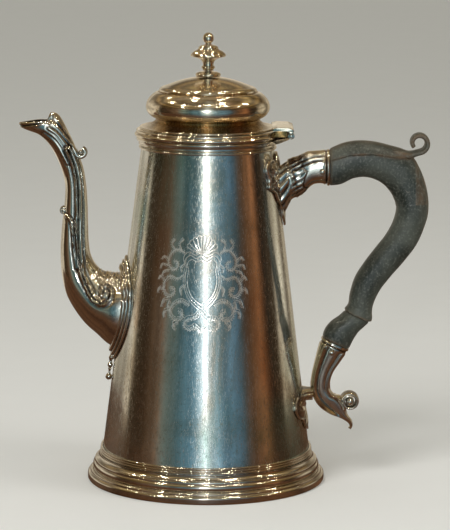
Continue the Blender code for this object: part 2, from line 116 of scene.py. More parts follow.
# ---------------------------------------------------------------- curves and profiles
def smooth(points, count):
    """A smooth curve through points, evenly resampled."""
    p = np.asarray(points, float)
    t = np.concatenate([[0.0], np.cumsum(np.linalg.norm(np.diff(p, axis=0), axis=1))])
    slope = np.gradient(p, t, axis=0)
    s = np.linspace(0.0, t[-1], count)
    i = np.clip(np.searchsorted(t, s, side="right") - 1, 0, len(t) - 2)
    h = (t[i + 1] - t[i])[:, None]
    u = (s - t[i])[:, None] / h
    start, end = (2 * u**3 - 3 * u**2 + 1) * p[i], (3 * u**2 - 2 * u**3) * p[i + 1]
    return start + end + (u**3 - 2 * u**2 + u) * h * slope[i] + (u**3 - u**2) * h * slope[i + 1]


def arc(centre_r, centre_z, radius, start, end, count=10):
    angles = np.radians(np.linspace(start, end, count + 1))
    return [(centre_r + radius * math.cos(a), centre_z + radius * math.sin(a)) for a in angles]


def divided(points, spacing, closed):
    """The same outline with points no further apart than spacing."""
    p = [np.asarray(q, float) for q in points]
    pairs = list(zip(p, p[1:] + p[:1])) if closed else list(zip(p, p[1:]))
    out = []
    for a, b in pairs:
        steps = max(1, int(math.ceil(np.linalg.norm(b - a) / spacing)))
        out += [a + (b - a) * k / steps for k in range(steps)]
    return np.array(out if closed else out + [p[-1]])


def softened(points, spacing=0.9, rounds=2, closed=True):
    """An outline with its corners eased, as polishing leaves them."""
    p = divided(points, spacing, closed)
    for _ in range(rounds):
        after = np.roll(p, -1, axis=0) if closed else p[1:]
        before = p if closed else p[:-1]
        cut = np.stack([0.75 * before + 0.25 * after, 0.25 * before + 0.75 * after], axis=1).reshape(-1, 2)
        p = cut if closed else np.vstack([p[:1], cut, p[-1:]])
    return p


# ---------------------------------------------------------------- mesh pieces
def grid_faces(rows, columns, wrap_rows, wrap_columns):
    r = np.arange(rows if wrap_rows else rows - 1)
    c = np.arange(columns if wrap_columns else columns - 1)
    r, c = np.meshgrid(r, c, indexing="ij")
    r2, c2 = (r + 1) % rows, (c + 1) % columns
    corners = (r * columns + c, r * columns + c2, r2 * columns + c2, r2 * columns + c)
    return np.stack(corners, axis=-1).reshape(-1, 4)


def signed_volume(points, quads):
    a, b, c, d = (points[quads[:, k]] for k in range(4))
    halves = np.einsum("ij,ij->i", a, np.cross(b, c)) + np.einsum("ij,ij->i", a, np.cross(c, d))
    return halves.sum()


def shell(grid, wrap_rows=False, wrap_columns=True, capped=False, **fields):
    """A skin over a grid of points in millimetres: its points, outward faces and point attributes."""
    rows, columns = grid.shape[:2]
    points = grid.reshape(-1, 3) * MM
    quads = grid_faces(rows, columns, wrap_rows, wrap_columns)
    flip = signed_volume(points, quads) < 0.0
    faces = (quads[:, ::-1] if flip else quads).tolist()
    if capped:
        first = list(range(columns))[::1 if flip else -1]
        last = list(range((rows - 1) * columns, rows * columns))[::-1 if flip else 1]
        faces += [first, last]
    return points, faces, fields


def mesh_of(name, shells, sharp=50.0):
    """One mesh from several shells, with a float attribute from 0 to 1 for each of their fields."""
    starts = np.cumsum([0] + [len(points) for points, _, _ in shells])
    faces = [[int(start) + v for v in face] for start, (_, some, _) in zip(starts, shells) for face in some]
    mesh = bpy.data.meshes.new(name)
    mesh.from_pydata(np.vstack([points for points, _, _ in shells]).tolist(), [], faces)
    for field in sorted({field for _, _, fields in shells for field in fields}):
        blank = [fields.get(field, np.zeros(len(points))) for points, _, fields in shells]
        values = np.clip(np.concatenate([np.ravel(part) for part in blank]), 0.0, 1.0)
        mesh.attributes.new(field, "FLOAT", "POINT").data.foreach_set("value", values.astype(np.float32))
    mesh.shade_smooth()
    mesh.set_sharp_from_angle(angle=math.radians(sharp))
    return mesh


def add_object(name, data):
    obj = bpy.data.objects.new(name, data)
    bpy.context.scene.collection.objects.link(obj)
    return obj


def place(name, node, finish, shells, sharp=50.0):
    """Put a piece in the scene: it rides on its finish's body and stands for a CAD node."""
    slot, body = FINISHES[finish]
    obj = add_object(name, mesh_of(name, shells, sharp))
    obj.data.materials.append(MATERIALS[finish])
    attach(obj, body)
    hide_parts(node)
    return obj


def around_axis(radius, z, angles):
    """A grid of points around the vertical axis, with one row for each height."""
    circle = (radius * np.cos(angles), radius * np.sin(angles), z[:, None])
    return np.stack(np.broadcast_arrays(*circle), axis=-1)


def profile_recess(profile, reach=1.6):
    """How far each point of a closed profile lies in a hollow, from 0 to 1, for tarnish."""
    p = np.asarray(profile)
    ahead, behind = np.roll(p, -3, axis=0), np.roll(p, 3, axis=0)
    middle = (ahead + behind) / 2 - p
    tangent = ahead - behind
    normal = np.stack([-tangent[:, 1], tangent[:, 0]], axis=1)
    area = np.sum(p[:, 0] * np.roll(p[:, 1], -1) - np.roll(p[:, 0], -1) * p[:, 1])
    normal *= (-1.0 if area > 0 else 1.0) / np.maximum(np.linalg.norm(normal, axis=1), 1e-6)[:, None]
    return np.clip(np.sum(middle * normal, axis=1) * reach / 0.25, 0.0, 1.0)


def turned(profile, steps=TURN_STEPS, spacing=0.9, capped=False, move=None, wear=None):
    """A ring turned from a closed profile, or a solid from an open one that is capped at both ends.

    `move` puts the points elsewhere, and the function of height adds more darkening: on the lid, tarnish in
    the cove and a painted dark reflection on the lower bulge.
    """
    profile = softened(profile, spacing, closed=not capped)
    grid = around_axis(profile[:, :1], profile[:, 1], np.arange(steps) * math.tau / steps)
    recess = np.repeat(profile_recess(profile)[:, None], steps, axis=1)
    if wear:
        recess = recess + wear(grid[..., 2])
    if move:
        grid = move(grid)
    return shell(grid, wrap_rows=not capped, capped=capped, recess=recess)


def turned_piece(name, node, finish, profile, **settings):
    place(name, node, finish, [turned(profile, **settings)])


def side_pin(end, x, z, steps=40):
    """A pin along Y through (x, z), turned from the (radius, y) points of one end and mirrored."""
    def lay_down(grid):
        return np.stack([grid[..., 0] + x, grid[..., 2], -grid[..., 1] + z], axis=-1)

    profile = end + [(r, -y) for r, y in reversed(end)]
    return turned(profile, steps, 0.5, capped=True, move=lay_down)


# ---------------------------------------------------------------- limbs
def ease(value):
    value = np.clip(value, 0.0, 1.0)
    return value * value * (3.0 - 2.0 * value)


def ridge(distance, width):
    return np.exp(-(distance / width) ** 2)


def line_distance(x, z, curve):
    """Distance from points to a polyline, all in one plane."""
    nearest = np.full(np.broadcast(x, z).shape, np.inf)
    for (ax, az), (bx, bz) in zip(curve, curve[1:]):
        dx, dz = bx - ax, bz - az
        share = np.clip(((x - ax) * dx + (z - az) * dz) / max(dx * dx + dz * dz, 1e-9), 0.0, 1.0)
        nearest = np.minimum(nearest, np.hypot(x - ax - share * dx, z - az - share * dz))
    return nearest


def rounded(value, power):
    return np.sign(value) * np.abs(value) ** power


def seated(grid, offset, side):
    """The grid with whatever lies inside the body's cone pushed out to it."""
    x, y, z = (grid[..., k] for k in range(3))
    limit = body_radius(z) + offset
    on_cone = side * np.sqrt(np.maximum(limit**2 - y**2, 0.0))
    return np.stack([np.where(np.hypot(x, y) < limit, on_cone, x), y, z], axis=-1)


class Limb:
    """A skin of ovals through (outline point, opposite outline point, half width) stations.

    `across` runs from 1 on the first outline to -1 on the opposite one, and `side` from 0 there to 1 between.
    """

    def __init__(self, stations, count, sides, power=2.0, inset=0.0):
        rows = smooth([(*a, *b, width) for a, b, width in stations], count)
        self.turn = np.arange(sides) * math.tau / sides
        self.across = rounded(np.cos(self.turn), 2.0 / power)
        side = rounded(np.sin(self.turn), 2.0 / power)
        self.side = np.abs(side)
        first, second, width = rows[:, 0:2], rows[:, 2:4], rows[:, 4] - inset
        centre, half = (first + second) / 2, (first - second) / 2
        half = half * (1.0 - inset / np.linalg.norm(half, axis=1))[:, None]
        plane = centre[:, None, :] + half[:, None, :] * self.across[None, :, None]
        self.grid = np.stack([plane[..., 0], width[:, None] * side, plane[..., 1]], axis=-1)
        steps = np.linalg.norm(np.diff(centre, axis=0), axis=1)
        self.along = np.concatenate([[0.0], np.cumsum(steps)])[:, None] + np.zeros(sides)

    @property
    def x(self):
        return self.grid[..., 0]

    @property
    def z(self):
        return self.grid[..., 2]

    def raise_by(self, height):
        """Move every point out along the skin's normal."""
        around = np.roll(self.grid, -1, axis=1) - np.roll(self.grid, 1, axis=1)
        normal = np.cross(around, np.gradient(self.grid, axis=0))
        normal /= np.maximum(np.linalg.norm(normal, axis=-1, keepdims=True), 1e-9)
        outward = self.grid - self.grid.mean(axis=1, keepdims=True)
        normal *= np.sign(np.sum(normal * outward))
        self.grid = self.grid + normal * np.asarray(height)[..., None]

    def shell(self, **fields):
        return shell(self.grid, capped=True, **fields)

    def strap(self, darkest):
        """Its shell as a strap that is darker between its two edges."""
        edge = np.abs(self.grid[..., 1]) / np.abs(self.grid[..., 1]).max()
        return self.shell(recess=np.clip(1.1 - edge * 1.2, 0.0, darkest))


def scroll_stations(centre, radii, start, sweep, halves, widths, count=28):
    """Stations of a band that winds about a centre, with each pair of numbers for its start and end."""
    rows = []
    for share in np.linspace(0.0, 1.0, count):
        angle = math.radians(start + sweep * share)
        radius, half, width = (a + (b - a) * share for a, b in (radii, halves, widths))
        outward = np.array([math.cos(angle), math.sin(angle)])
        middle = np.array(centre) + outward * radius
        outward *= -half if sweep > 0 else half
        rows.append((tuple(middle + outward), tuple(middle - outward), width))
    return rows


def scroll_eye(centre, radius, reach):
    """The ball at the middle of a curl."""
    return side_pin([(TIP, reach)] + arc(0.0, reach - radius, radius, 80, 10, 6), *centre)


def cone_plate(outline, centre, profile, side, relief=None):
    """A plate on the body: (y, z) outline, centre, and (share of the outline, height above the body) rows."""
    outline, centre = np.asarray(outline), np.asarray(centre)
    share, height = np.array(profile).T[..., None]
    flat = centre + share[..., None] * (outline - centre)
    y, z = flat[..., 0], flat[..., 1]
    angle = np.arctan2(outline[:, 1] - centre[1], outline[:, 0] - centre[0])
    if relief is not None:
        height = height + relief(share, angle)
    radius = body_radius(z)
    y = y * (radius + height) / radius
    x = side * np.sqrt((radius + height) ** 2 - y**2)
    return np.stack([x, y, z + 0.0 * x], axis=-1)


def closed_outline(half_outline, count):
    """An even, smooth, closed outline from its points on the +Y side, listed from top to bottom."""
    half = [tuple(p) for p in half_outline]
    whole = half + [(-y, z) for y, z in reversed(half) if y > 0.0]
    return smooth(whole + whole[:1], count + 1)[:-1]


def extruded(outline, half_width, easing=0.5):
    """An (x, z) outline carried along Y, with its ends eased."""
    outline = np.asarray(outline)
    centre = outline.mean(axis=0)
    reach = np.abs(outline - centre).max()
    rows = []
    for back, shrink in ((0.0, easing), (easing * 0.3, easing * 0.3), (easing, 0.0)):
        rows.append((half_width - back, 1.0 - shrink / reach))
    rows = [(-y, scale) for y, scale in rows] + [(y, scale) for y, scale in reversed(rows)]
    grids = [np.stack([centre[0] + (outline[:, 0] - centre[0]) * scale, np.full(len(outline), y),
                       centre[1] + (outline[:, 1] - centre[1]) * scale], axis=-1) for y, scale in rows]
    return np.array(grids)


# ---------------------------------------------------------------- shader building
class Nodes:
    """A short way to write a node tree."""

    def __init__(self, tree, coordinates):
        self.tree = tree
        self.coordinates = self.node("TexCoord").outputs[coordinates]

    def node(self, kind, inputs=None, **settings):
        made = self.tree.nodes.new("ShaderNode" + kind)
        for key, value in settings.items():
            setattr(made, key, value)
        for key, value in (inputs or {}).items():
            self.link(value, made.inputs[key])
        return made

    def link(self, value, socket):
        if isinstance(value, bpy.types.NodeSocket):
            self.tree.links.new(value, socket)
        else:
            socket.default_value = (*value, 1.0) if socket.type == "RGBA" else value

    def math(self, operation, a, b=0.0):
        return self.node("Math", {0: a, 1: b}, operation=operation).outputs[0]

    def total(self, start, *terms, clamp=True):
        """A start value plus each (value, weight) pair."""
        for value, weight in terms:
            inputs = {0: value, 1: weight, 2: start}
            start = self.node("Math", inputs, operation="MULTIPLY_ADD", use_clamp=clamp).outputs[0]
        return start

    def mix(self, factor, a, b):
        return self.node("Mix", {0: factor, 6: a, 7: b}, data_type="RGBA").outputs[2]

    def spread(self, value, low, high, to_low=0.0, to_high=1.0):
        """Remap a value from one range to another, held at the ends."""
        return self.node("MapRange", dict(enumerate((value, low, high, to_low, to_high)))).outputs[0]

    def stretched(self, scale, turn=(0.0, 0.0, 0.0)):
        inputs = {"Vector": self.coordinates, "Scale": scale, "Rotation": turn}
        return self.node("Mapping", inputs).outputs[0]

    def noise(self, scale, detail=3.0, vector=None, distortion=0.0, roughness=0.5):
        inputs = {"Vector": vector or self.coordinates, "Scale": scale, "Detail": detail,
                  "Roughness": roughness, "Distortion": distortion}
        return self.node("TexNoise", inputs).outputs[0]

    def ramp(self, value, stops):
        """A colour ramp with (place from 0 to 1, colour) stops."""
        made = self.node("ValToRGB", {0: value})
        elements = made.color_ramp.elements
        for index, (position, colour) in enumerate(stops):
            element = elements[index] if index < 2 else elements.new(position)
            element.position = position
            element.color = (*colour, 1.0)
        return made.outputs[0]


class Shader(Nodes):
    """A material with one Principled surface."""

    def __init__(self, name):
        self.material = bpy.data.materials.new(name)
        self.material.use_nodes = True
        super().__init__(self.material.node_tree, "Object")
        self.surface = self.tree.nodes["Principled BSDF"]

    def set(self, name, value):
        self.link(value, self.surface.inputs[name])

    def fed(self, name):
        """What feeds one of the surface's inputs now."""
        return self.surface.inputs[name].links[0].from_socket

    def tint(self, share, strength, colour):
        """Lay another colour over the surface's own where share is 1."""
        share = self.math("MULTIPLY", share, strength)
        self.set("Base Color", self.mix(share, self.fed("Base Color"), colour))

    def roughen(self, share, more):
        self.set("Roughness", self.total(self.fed("Roughness"), (share, more)))

    def attribute(self, name):
        return self.node("Attribute", attribute_name=name).outputs["Fac"]

    def bump(self, height, strength, distance, normal=None):
        inputs = {"Height": height, "Strength": strength, "Distance": distance}
        if normal is not None:
            inputs["Normal"] = normal
        return self.node("Bump", inputs).outputs[0]

    def scratches(self, across, along, turns):
        """Fine lines in several directions, 0 to 1."""
        total = 0.0
        for turn in turns:
            lines = self.noise(1.0, 2.0, self.stretched((across, across, along), turn))
            total = self.math("MAXIMUM", self.spread(lines, 0.60, 0.70), total)
        return total


def silver(name, clean, tarnish, roughness, patina, wave, marks):
    """Polished old silver: waves left by the hammer, fine scratches, and tarnish in hollows; the same
    darkening attribute also carries a painted dark reflection on the lid's lower bulge.
    """
    s = Shader(name)
    s.set("Metallic", 1.0)
    clouds = s.spread(s.noise(38.0, 4.0, distortion=0.6), 0.42, 0.72)
    streaks = s.spread(s.noise(1.0, 4.0, s.stretched((420.0, 420.0, 60.0), (0.1, 0.05, 0.0))), 0.45, 0.70)
    clouds = s.total(0.0, (clouds, 0.8), (streaks, 0.2 * marks))
    specks = s.spread(s.noise(700.0, 3.0), 0.56, 0.72)
    # Patina, specks and the darkening attribute: tarnish, plus a painted dark reflection on the lid's lower
    # bulge.
    dirt_and_reflection = s.total(0.0, (clouds, patina), (specks, 0.40 * marks), (s.attribute("recess"), 0.95))
    s.set("Base Color", s.mix(dirt_and_reflection, clean, tarnish))
    scratch = s.scratches(2300.0, 90.0, [(0.25, 0.15, 0.0), (1.2, -0.4, 0.3), (-0.7, 0.9, 0.5)])
    grain = s.noise(1500.0, 2.0)
    s.set("Roughness", s.total(roughness, (dirt_and_reflection, 0.14), (scratch, 0.16 * marks), (grain, 0.05)))
    waves = s.bump(s.noise(26.0, 2.0), wave, 0.0009)
    fine = s.total(0.0, (grain, 0.4), (scratch, -0.8), clamp=False)
    s.set("Normal", s.bump(fine, 0.35 * marks, 0.000025, waves))
    return s


def make_materials():
    warm, brown, black = (0.95, 0.91, 0.82), (0.20, 0.12, 0.06), (0.07, 0.045, 0.025)
    cool, olive = (0.95, 0.97, 0.96), (0.42, 0.38, 0.27)
    yellow, amber = (0.97, 0.90, 0.76), (0.36, 0.23, 0.09)
    made = {
        "body": silver("silver_body", cool, olive, 0.06, patina=0.60, wave=0.35, marks=1.0),
        "moulding": silver("silver_moulding", warm, brown, 0.06, patina=0.25, wave=0.15, marks=0.6),
        "cast": silver("silver_cast", warm, black, 0.09, patina=0.20, wave=0.6, marks=0.6),
        "lid": silver("silver_lid", yellow, amber, 0.08, patina=0.30, wave=0.15, marks=0.6),
        "wood": ebonised_wood(),
    }
    stains(made["body"])
    engraving(made["body"])
    return {key: shader.material for key, shader in made.items()}


def stains(s):
    """Broad cloudy stains drawn out down the body, brown in some places and green in others."""
    patches = s.spread(s.noise(1.0, 6.0, s.stretched((34.0, 34.0, 11.0)), 1.0, 0.6), 0.46, 0.66)
    colour = s.mix(s.spread(s.noise(12.0, 2.0), 0.45, 0.55), (0.60, 0.44, 0.30), (0.42, 0.56, 0.50))
    s.tint(patches, 0.8, colour)
    s.roughen(patches, 0.05)


def engraving(s):
    """Engraved lines scatter light, so they read pale where the plain surface reflects a dark room."""
    cut = s.attribute("engrave")
    s.tint(cut, 0.32, (0.62, 0.66, 0.64))
    s.set("Metallic", s.total(1.0, (cut, -0.25)))
    s.roughen(cut, 0.35)


def ebonised_wood():
    """Black-stained hardwood: grain along the handle, worn brown edges, small nicks and pores."""
    s = Shader("ebonised_wood")
    grain = s.noise(1.0, 5.0, s.stretched((900.0, 900.0, 130.0), (0.0, 0.6, 0.0)), 0.5)
    clouds = s.spread(s.noise(60.0, 4.0), 0.35, 0.75)
    worn = s.math("MULTIPLY", s.attribute("edge"), s.spread(s.noise(140.0, 4.0), 0.30, 0.62))
    nicks = s.spread(s.noise(260.0, 2.0, distortion=1.0), 0.70, 0.76)
    pores = s.spread(s.noise(850.0, 3.0), 0.52, 0.70)
    s.set("Base Color", s.mix(clouds, (0.017, 0.021, 0.017), (0.064, 0.072, 0.058)))
    s.tint(s.spread(grain, 0.5, 0.75), 0.5, (0.075, 0.080, 0.068))
    s.tint(worn, 0.7, (0.15, 0.085, 0.042))
    s.tint(nicks, 0.5, (0.16, 0.15, 0.13))
    s.tint(pores, 0.45, (0.15, 0.16, 0.14))
    s.set("Roughness", s.total(0.26, (clouds, 0.16), (grain, 0.12)))
    s.set("Specular IOR Level", 0.6)
    low = s.bump(s.noise(45.0, 3.0), 0.35, 0.0008)
    pitted = s.bump(pores, 0.35, 0.00008, low)
    height = s.total(0.0, (grain, 0.5), (nicks, -1.0), clamp=False)
    s.set("Normal", s.bump(height, 0.35, 0.00012, pitted))
    return s


MATERIALS = make_materials()


# ---------------------------------------------------------------- body and mouldings
FRONT = -math.pi / 2
CARTOUCHE_Z = 113.0
CARTOUCHE_TURN = -2.4
CARTOUCHE_HALF = 26.0
ENGRAVING_DEPTH = 0.10
ENGRAVING_STEP = 0.26
STRAINER_PITCH = 7.5
STRAINER_RADIUS = 1.8
STRAINER_STEPS = 32


def spaced(low, high, centre, reach, coarse, fine):
    """Values that are fine within reach of a centre and coarse outside it."""
    before = np.arange(low, centre - reach, coarse)
    inside = np.arange(centre - reach, centre + reach, fine)
    after = np.linspace(centre + reach, high, max(2, int((high - centre - reach) / coarse) + 1))
    return np.concatenate([before, inside, after])


def make_barrel():
    radius = body_radius(CARTOUCHE_Z)
    middle = FRONT + CARTOUCHE_TURN / radius
    angles = spaced(FRONT - math.pi, FRONT + math.pi, middle, CARTOUCHE_HALF / radius, math.tau / 120,
                    ENGRAVING_STEP / radius)[:-1]
    heights = spaced(BODY_BOTTOM, BODY_TOP, CARTOUCHE_Z, CARTOUCHE_HALF, 3.0, ENGRAVING_STEP)
    across = (angles - FRONT) * radius - CARTOUCHE_TURN
    cut = cartouche(across[None, :], heights[:, None] - CARTOUCHE_Z)
    outer = around_axis(body_radius(heights)[:, None] - ENGRAVING_DEPTH * cut, heights, angles)
    inner_z = np.linspace(BODY_TOP, BODY_BOTTOM, 24)
    inner = around_axis(body_radius(inner_z)[:, None] - WALL, inner_z, angles)
    engrave = np.vstack([cut, np.zeros(inner.shape[:2])])
    skin = shell(np.concatenate([outer, inner]), wrap_rows=True, engrave=engrave)
    pierce_strainer(place("barrel", "body_barrel", "body", [skin]))


def pierce_strainer(barrel):
    """Cut the seven strainer holes behind the spout."""
    centre_z = middle_of("spout_collar")[1]
    turns = [math.tau * i / 6 for i in range(6)]
    places = [(0.0, 0.0)] + [(STRAINER_PITCH * math.cos(a), STRAINER_PITCH * math.sin(a)) for a in turns]
    circle = np.arange(STRAINER_STEPS) * math.tau / STRAINER_STEPS
    shells = []
    for y, dz in places:
        ring_y = y + STRAINER_RADIUS * np.cos(circle)
        ring_z = centre_z + dz + STRAINER_RADIUS * np.sin(circle)
        rows = [np.stack([np.full(STRAINER_STEPS, x), ring_y, ring_z], axis=-1) for x in (-60.0, -30.0)]
        shells.append(shell(np.array(rows), capped=True))
    cutter = add_object("strainer_cutter", mesh_of("strainer_cutter", shells))
    modifier = barrel.modifiers.new("Strainer", "BOOLEAN")
    modifier.operation = "DIFFERENCE"
    modifier.solver = "EXACT"
    modifier.object = cutter
    view = bpy.context.evaluated_depsgraph_get()
    pierced = bpy.data.meshes.new_from_object(barrel.evaluated_get(view), depsgraph=view)
    barrel.modifiers.clear()
    barrel.data = pierced
    bpy.data.objects.remove(cutter, do_unlink=True)


# Strokes of the right half of the engraving, across and up from its centre; the left half mirrors them.
SHIELD = [
    (0.0, 14.5), (3.0, 13.2), (6.4, 14.6), (9.0, 12.4), (8.2, 8.0), (8.9, 3.0), (8.0, -3.0), (5.0, -8.5),
    (0.0, -12.5),
]
SCROLLS = [
    [(9.5, 16.0), (14.0, 17.5), (18.0, 14.5), (18.8, 9.5), (16.0, 6.5), (13.2, 8.2), (13.6, 11.0),
     (15.8, 11.2)],
    [(10.0, 4.0), (13.0, 2.0), (17.5, 3.2), (20.6, 0.0), (20.4, -5.0), (17.4, -7.4), (14.6, -5.6),
     (15.2, -3.0), (17.2, -3.0)],
    [(6.0, -11.0), (10.5, -9.0), (15.0, -11.5), (16.4, -16.0), (13.4, -19.4), (9.6, -18.0), (9.8, -15.0),
     (12.0, -14.6)],
    [(0.0, -14.0), (3.0, -17.5), (7.5, -19.0), (8.5, -22.0), (5.5, -24.0), (2.5, -22.4), (0.0, -24.6)],
]
LEAVES = [
    [(18.8, 12.0), (22.0, 13.5), (23.6, 11.6)], [(19.4, 9.0), (23.0, 9.4), (24.0, 6.8)],
    [(20.6, 1.4), (23.6, 3.2), (24.6, 1.0)], [(20.8, -3.4), (24.0, -3.4), (24.6, -6.0)],
    [(17.6, -8.6), (21.0, -10.0), (21.6, -13.0)], [(16.6, -14.0), (20.0, -15.6), (19.6, -18.6)],
    [(12.0, -20.0), (14.8, -22.4), (13.0, -24.6)], [(15.0, 17.4), (17.4, 20.4), (15.4, 22.6)],
    [(11.4, 17.4), (12.6, 20.8), (10.2, 22.8)], [(18.4, 6.6), (21.6, 5.6), (22.4, 3.2)],
    [(16.8, -9.6), (18.0, -12.2), (17.2, -14.6)], [(9.6, 10.0), (11.6, 8.2), (11.0, 5.4)],
    [(9.4, -1.0), (11.6, -3.4), (10.6, -6.6)],
]


def crest_strokes():
    """A shell over the shield: ribs that fan out and the arcs that join their tips."""
    ribs = []
    for degrees in (90.0, 72.0, 54.0, 36.0, 20.0):
        angle = math.radians(degrees)
        tip = (8.6 * math.cos(angle), 15.6 + 8.8 * math.sin(angle))
        ribs.append([(0.8 * math.cos(angle), 15.8), (tip[0] * 0.6, (15.6 + tip[1]) / 2), tip])
    tips = [rib[-1] for rib in ribs]
    for a, b in zip(tips, tips[1:]):
        middle = ((a[0] + b[0]) * 0.54, 15.6 + ((a[1] + b[1]) / 2 - 15.6) * 1.10)
        ribs.append([a, middle, b])
    return ribs


def ticks_along(curve, spacing, length):
    """Short shading cuts on one side of a stroke."""
    out = []
    reach = float(np.linalg.norm(np.diff(curve, axis=0), axis=1).sum())
    for a, b in zip(*(smooth(curve, int(reach / spacing) + 2)[k:] for k in (0, 1))):
        step = b - a
        out.append([tuple(a), tuple(a + 0.5 * step + length * np.array([step[1], -step[0]]) / spacing)])
    return out


def cartouche(across, up):
    """Depth of the engraving, 0 to 1, at points across and up from its centre."""
    depth = np.zeros(np.broadcast(across, up).shape)
    near = (np.abs(across) < CARTOUCHE_HALF) & (np.abs(up) < CARTOUCHE_HALF)
    x = np.broadcast_to(np.abs(across), near.shape)[near]
    z = np.broadcast_to(up, near.shape)[near]
    strokes = [(smooth(SHIELD, 40) * scale, 0.16) for scale in (1.0, 0.86, 1.12)]
    for curve in SCROLLS:
        fine = smooth(curve, 44)
        strokes += [(fine, 0.17), (fine * 0.94 + 0.7, 0.14)]
        strokes += [(tick, 0.14) for tick in ticks_along(fine, 0.9, 1.2)]
        strokes += [(tick, 0.14) for tick in ticks_along(fine[::-1], 1.1, 1.0)]
    for curve in LEAVES:
        fine = smooth(curve, 10)
        strokes += [(fine, 0.16), (fine * 0.95 + 0.6, 0.14)]
        strokes += [(tick, 0.14) for tick in ticks_along(fine, 0.8, 1.2)]
    strokes += [(smooth(curve, 8), 0.16) for curve in crest_strokes()]
    cut = np.zeros(x.shape)
    for curve, width in strokes:
        cut = np.maximum(cut, np.clip(1.15 - line_distance(x, z, curve) / width, 0.0, 1.0))
    depth[near] = cut
    return depth


def make_foot():
    low, high = node_box("foot_moulding")
    rim, top = high[0], high[2]
    inner = [(body_radius(low[2]) + 0.4, low[2]), (body_radius(top) + 0.3, top)]
    outer = [(57.3, top)] + arc(60.2, top + 0.2, 3.1, 190, 262, 8) + [(59.9, 10.3)]
    outer += arc(57.9, 7.75, 2.95, 48, -44, 12) + [(60.3, 5.5), (60.6, 5.0)]
    outer += arc(61.4, 4.9, 0.75, 120, -20, 6) + [(62.3, 4.3)]
    outer += arc(rim - 1.6, 2.7, 1.6, 75, 0, 6) + [(rim, 0.7), (rim - 0.5, low[2])]
    turned_piece("foot_ring", "foot_moulding", "moulding", outer + inner)
    low, high = node_box("foot_reed_wire")
    reeds = 3
    pitch = (high[2] - low[2]) / reeds
    outer = []
    for i in range(reeds):
        centre_z = high[2] - (i + 0.5) * pitch
        outer += arc(body_radius(centre_z) + 0.75, centre_z, pitch * 0.47, 88, -88, 8)
    inner = [(body_radius(low[2]) + 0.3, low[2] + 0.1), (body_radius(high[2]) + 0.3, high[2] - 0.1)]
    turned_piece("foot_reeds", "foot_reed_wire", "moulding", outer + inner, spacing=0.3)


def make_rim():
    low, high = node_box("rim_moulding")
    base, top, widest = low[2], high[2], high[0]
    outer = [(36.5, top), (widest - 0.7, top)] + arc(widest - 0.95, top - 1.1, 0.95, 70, -70, 8)
    outer += [(widest - 1.0, top - 2.1)] + arc(widest + 0.2, top - 3.2, 1.5, 130, 205, 6)
    outer += [(36.0, base + 0.3), (35.9, base)]
    inner = [(body_radius(base) + 0.3, base), (body_radius(top) + 0.3, top)]
    turned_piece("rim_band", "rim_moulding", "moulding", outer + inner, spacing=0.5)
    low, high = node_box("rim_bead")
    wire = (high[2] - low[2]) / 2 + 0.1
    profile = arc(high[0] - wire, (low[2] + high[2]) / 2 + 0.15, wire, 0, 342, 18)
    turned_piece("rim_wire", "rim_bead", "moulding", profile, spacing=0.3)


# ---------------------------------------------------------------- lid and finial
def make_lid():
    low, high = node_box("lid_flange")
    edge, seat, top = high[0], low[2], high[2]
    outer = [(35.6, top)] + arc(edge - 1.6, top - 0.55, 0.75, 100, -50, 8)
    outer += [(edge - 0.9, top - 1.5), (edge - 0.35, top - 1.8), (edge, top - 2.3), (edge, seat + 0.7)]
    outer += [(edge - 0.5, seat), (33.3, seat), (33.3, top)]
    turned_piece("lid_rim", "lid_flange", "lid", outer, spacing=0.5)
    dome = [(36.2, 190.4), (34.4, 190.6), (31.6, 191.3), (29.4, 192.3), (28.0, 193.4), (27.5, 194.2)]
    bulge = [(27.9, 194.9), (29.3, 195.5), (31.2, 196.9), (32.5, 198.9), (32.85, 201.2), (32.3, 203.6),
             (30.7, 206.0), (28.6, 207.9), (27.3, 208.6), (26.5, 208.8)]
    crown = [(26.1, 209.0), (26.05, 209.9), (25.4, 210.7), (22.4, 211.9), (18.6, 213.4), (14.4, 214.8),
             (10.4, 215.8), (6.4, 216.4), (2.2, 216.6)]
    outer = np.vstack([smooth(dome, 10), smooth(bulge, 26), smooth(crown, 20)])
    tangent = np.gradient(outer, axis=0)
    inward = np.stack([-tangent[:, 1], tangent[:, 0]], axis=1)
    inner = outer + inward / np.linalg.norm(inward, axis=1)[:, None] * 1.0
    profile = np.vstack([outer, inner[::-1]])

    # Darker in the cove below the lid's waist, which is tarnish, and in a band on the lower bulge, which is a
    # painted dark reflection.
    def wear(z):
        return 0.55 * ridge(z - 193.0, 2.2) + 0.40 * ridge(z - 196.8, 1.6)

    turned_piece("lid_cover", "lid_dome", "lid", profile, spacing=2.0, wear=wear)
    low, high = node_box("lid_bezel")
    sleeve = [(high[0], high[2]), (high[0], low[2]), (high[0] - 1.0, low[2]), (high[0] - 1.0, high[2])]
    turned_piece("lid_sleeve", "lid_bezel", "lid", sleeve)


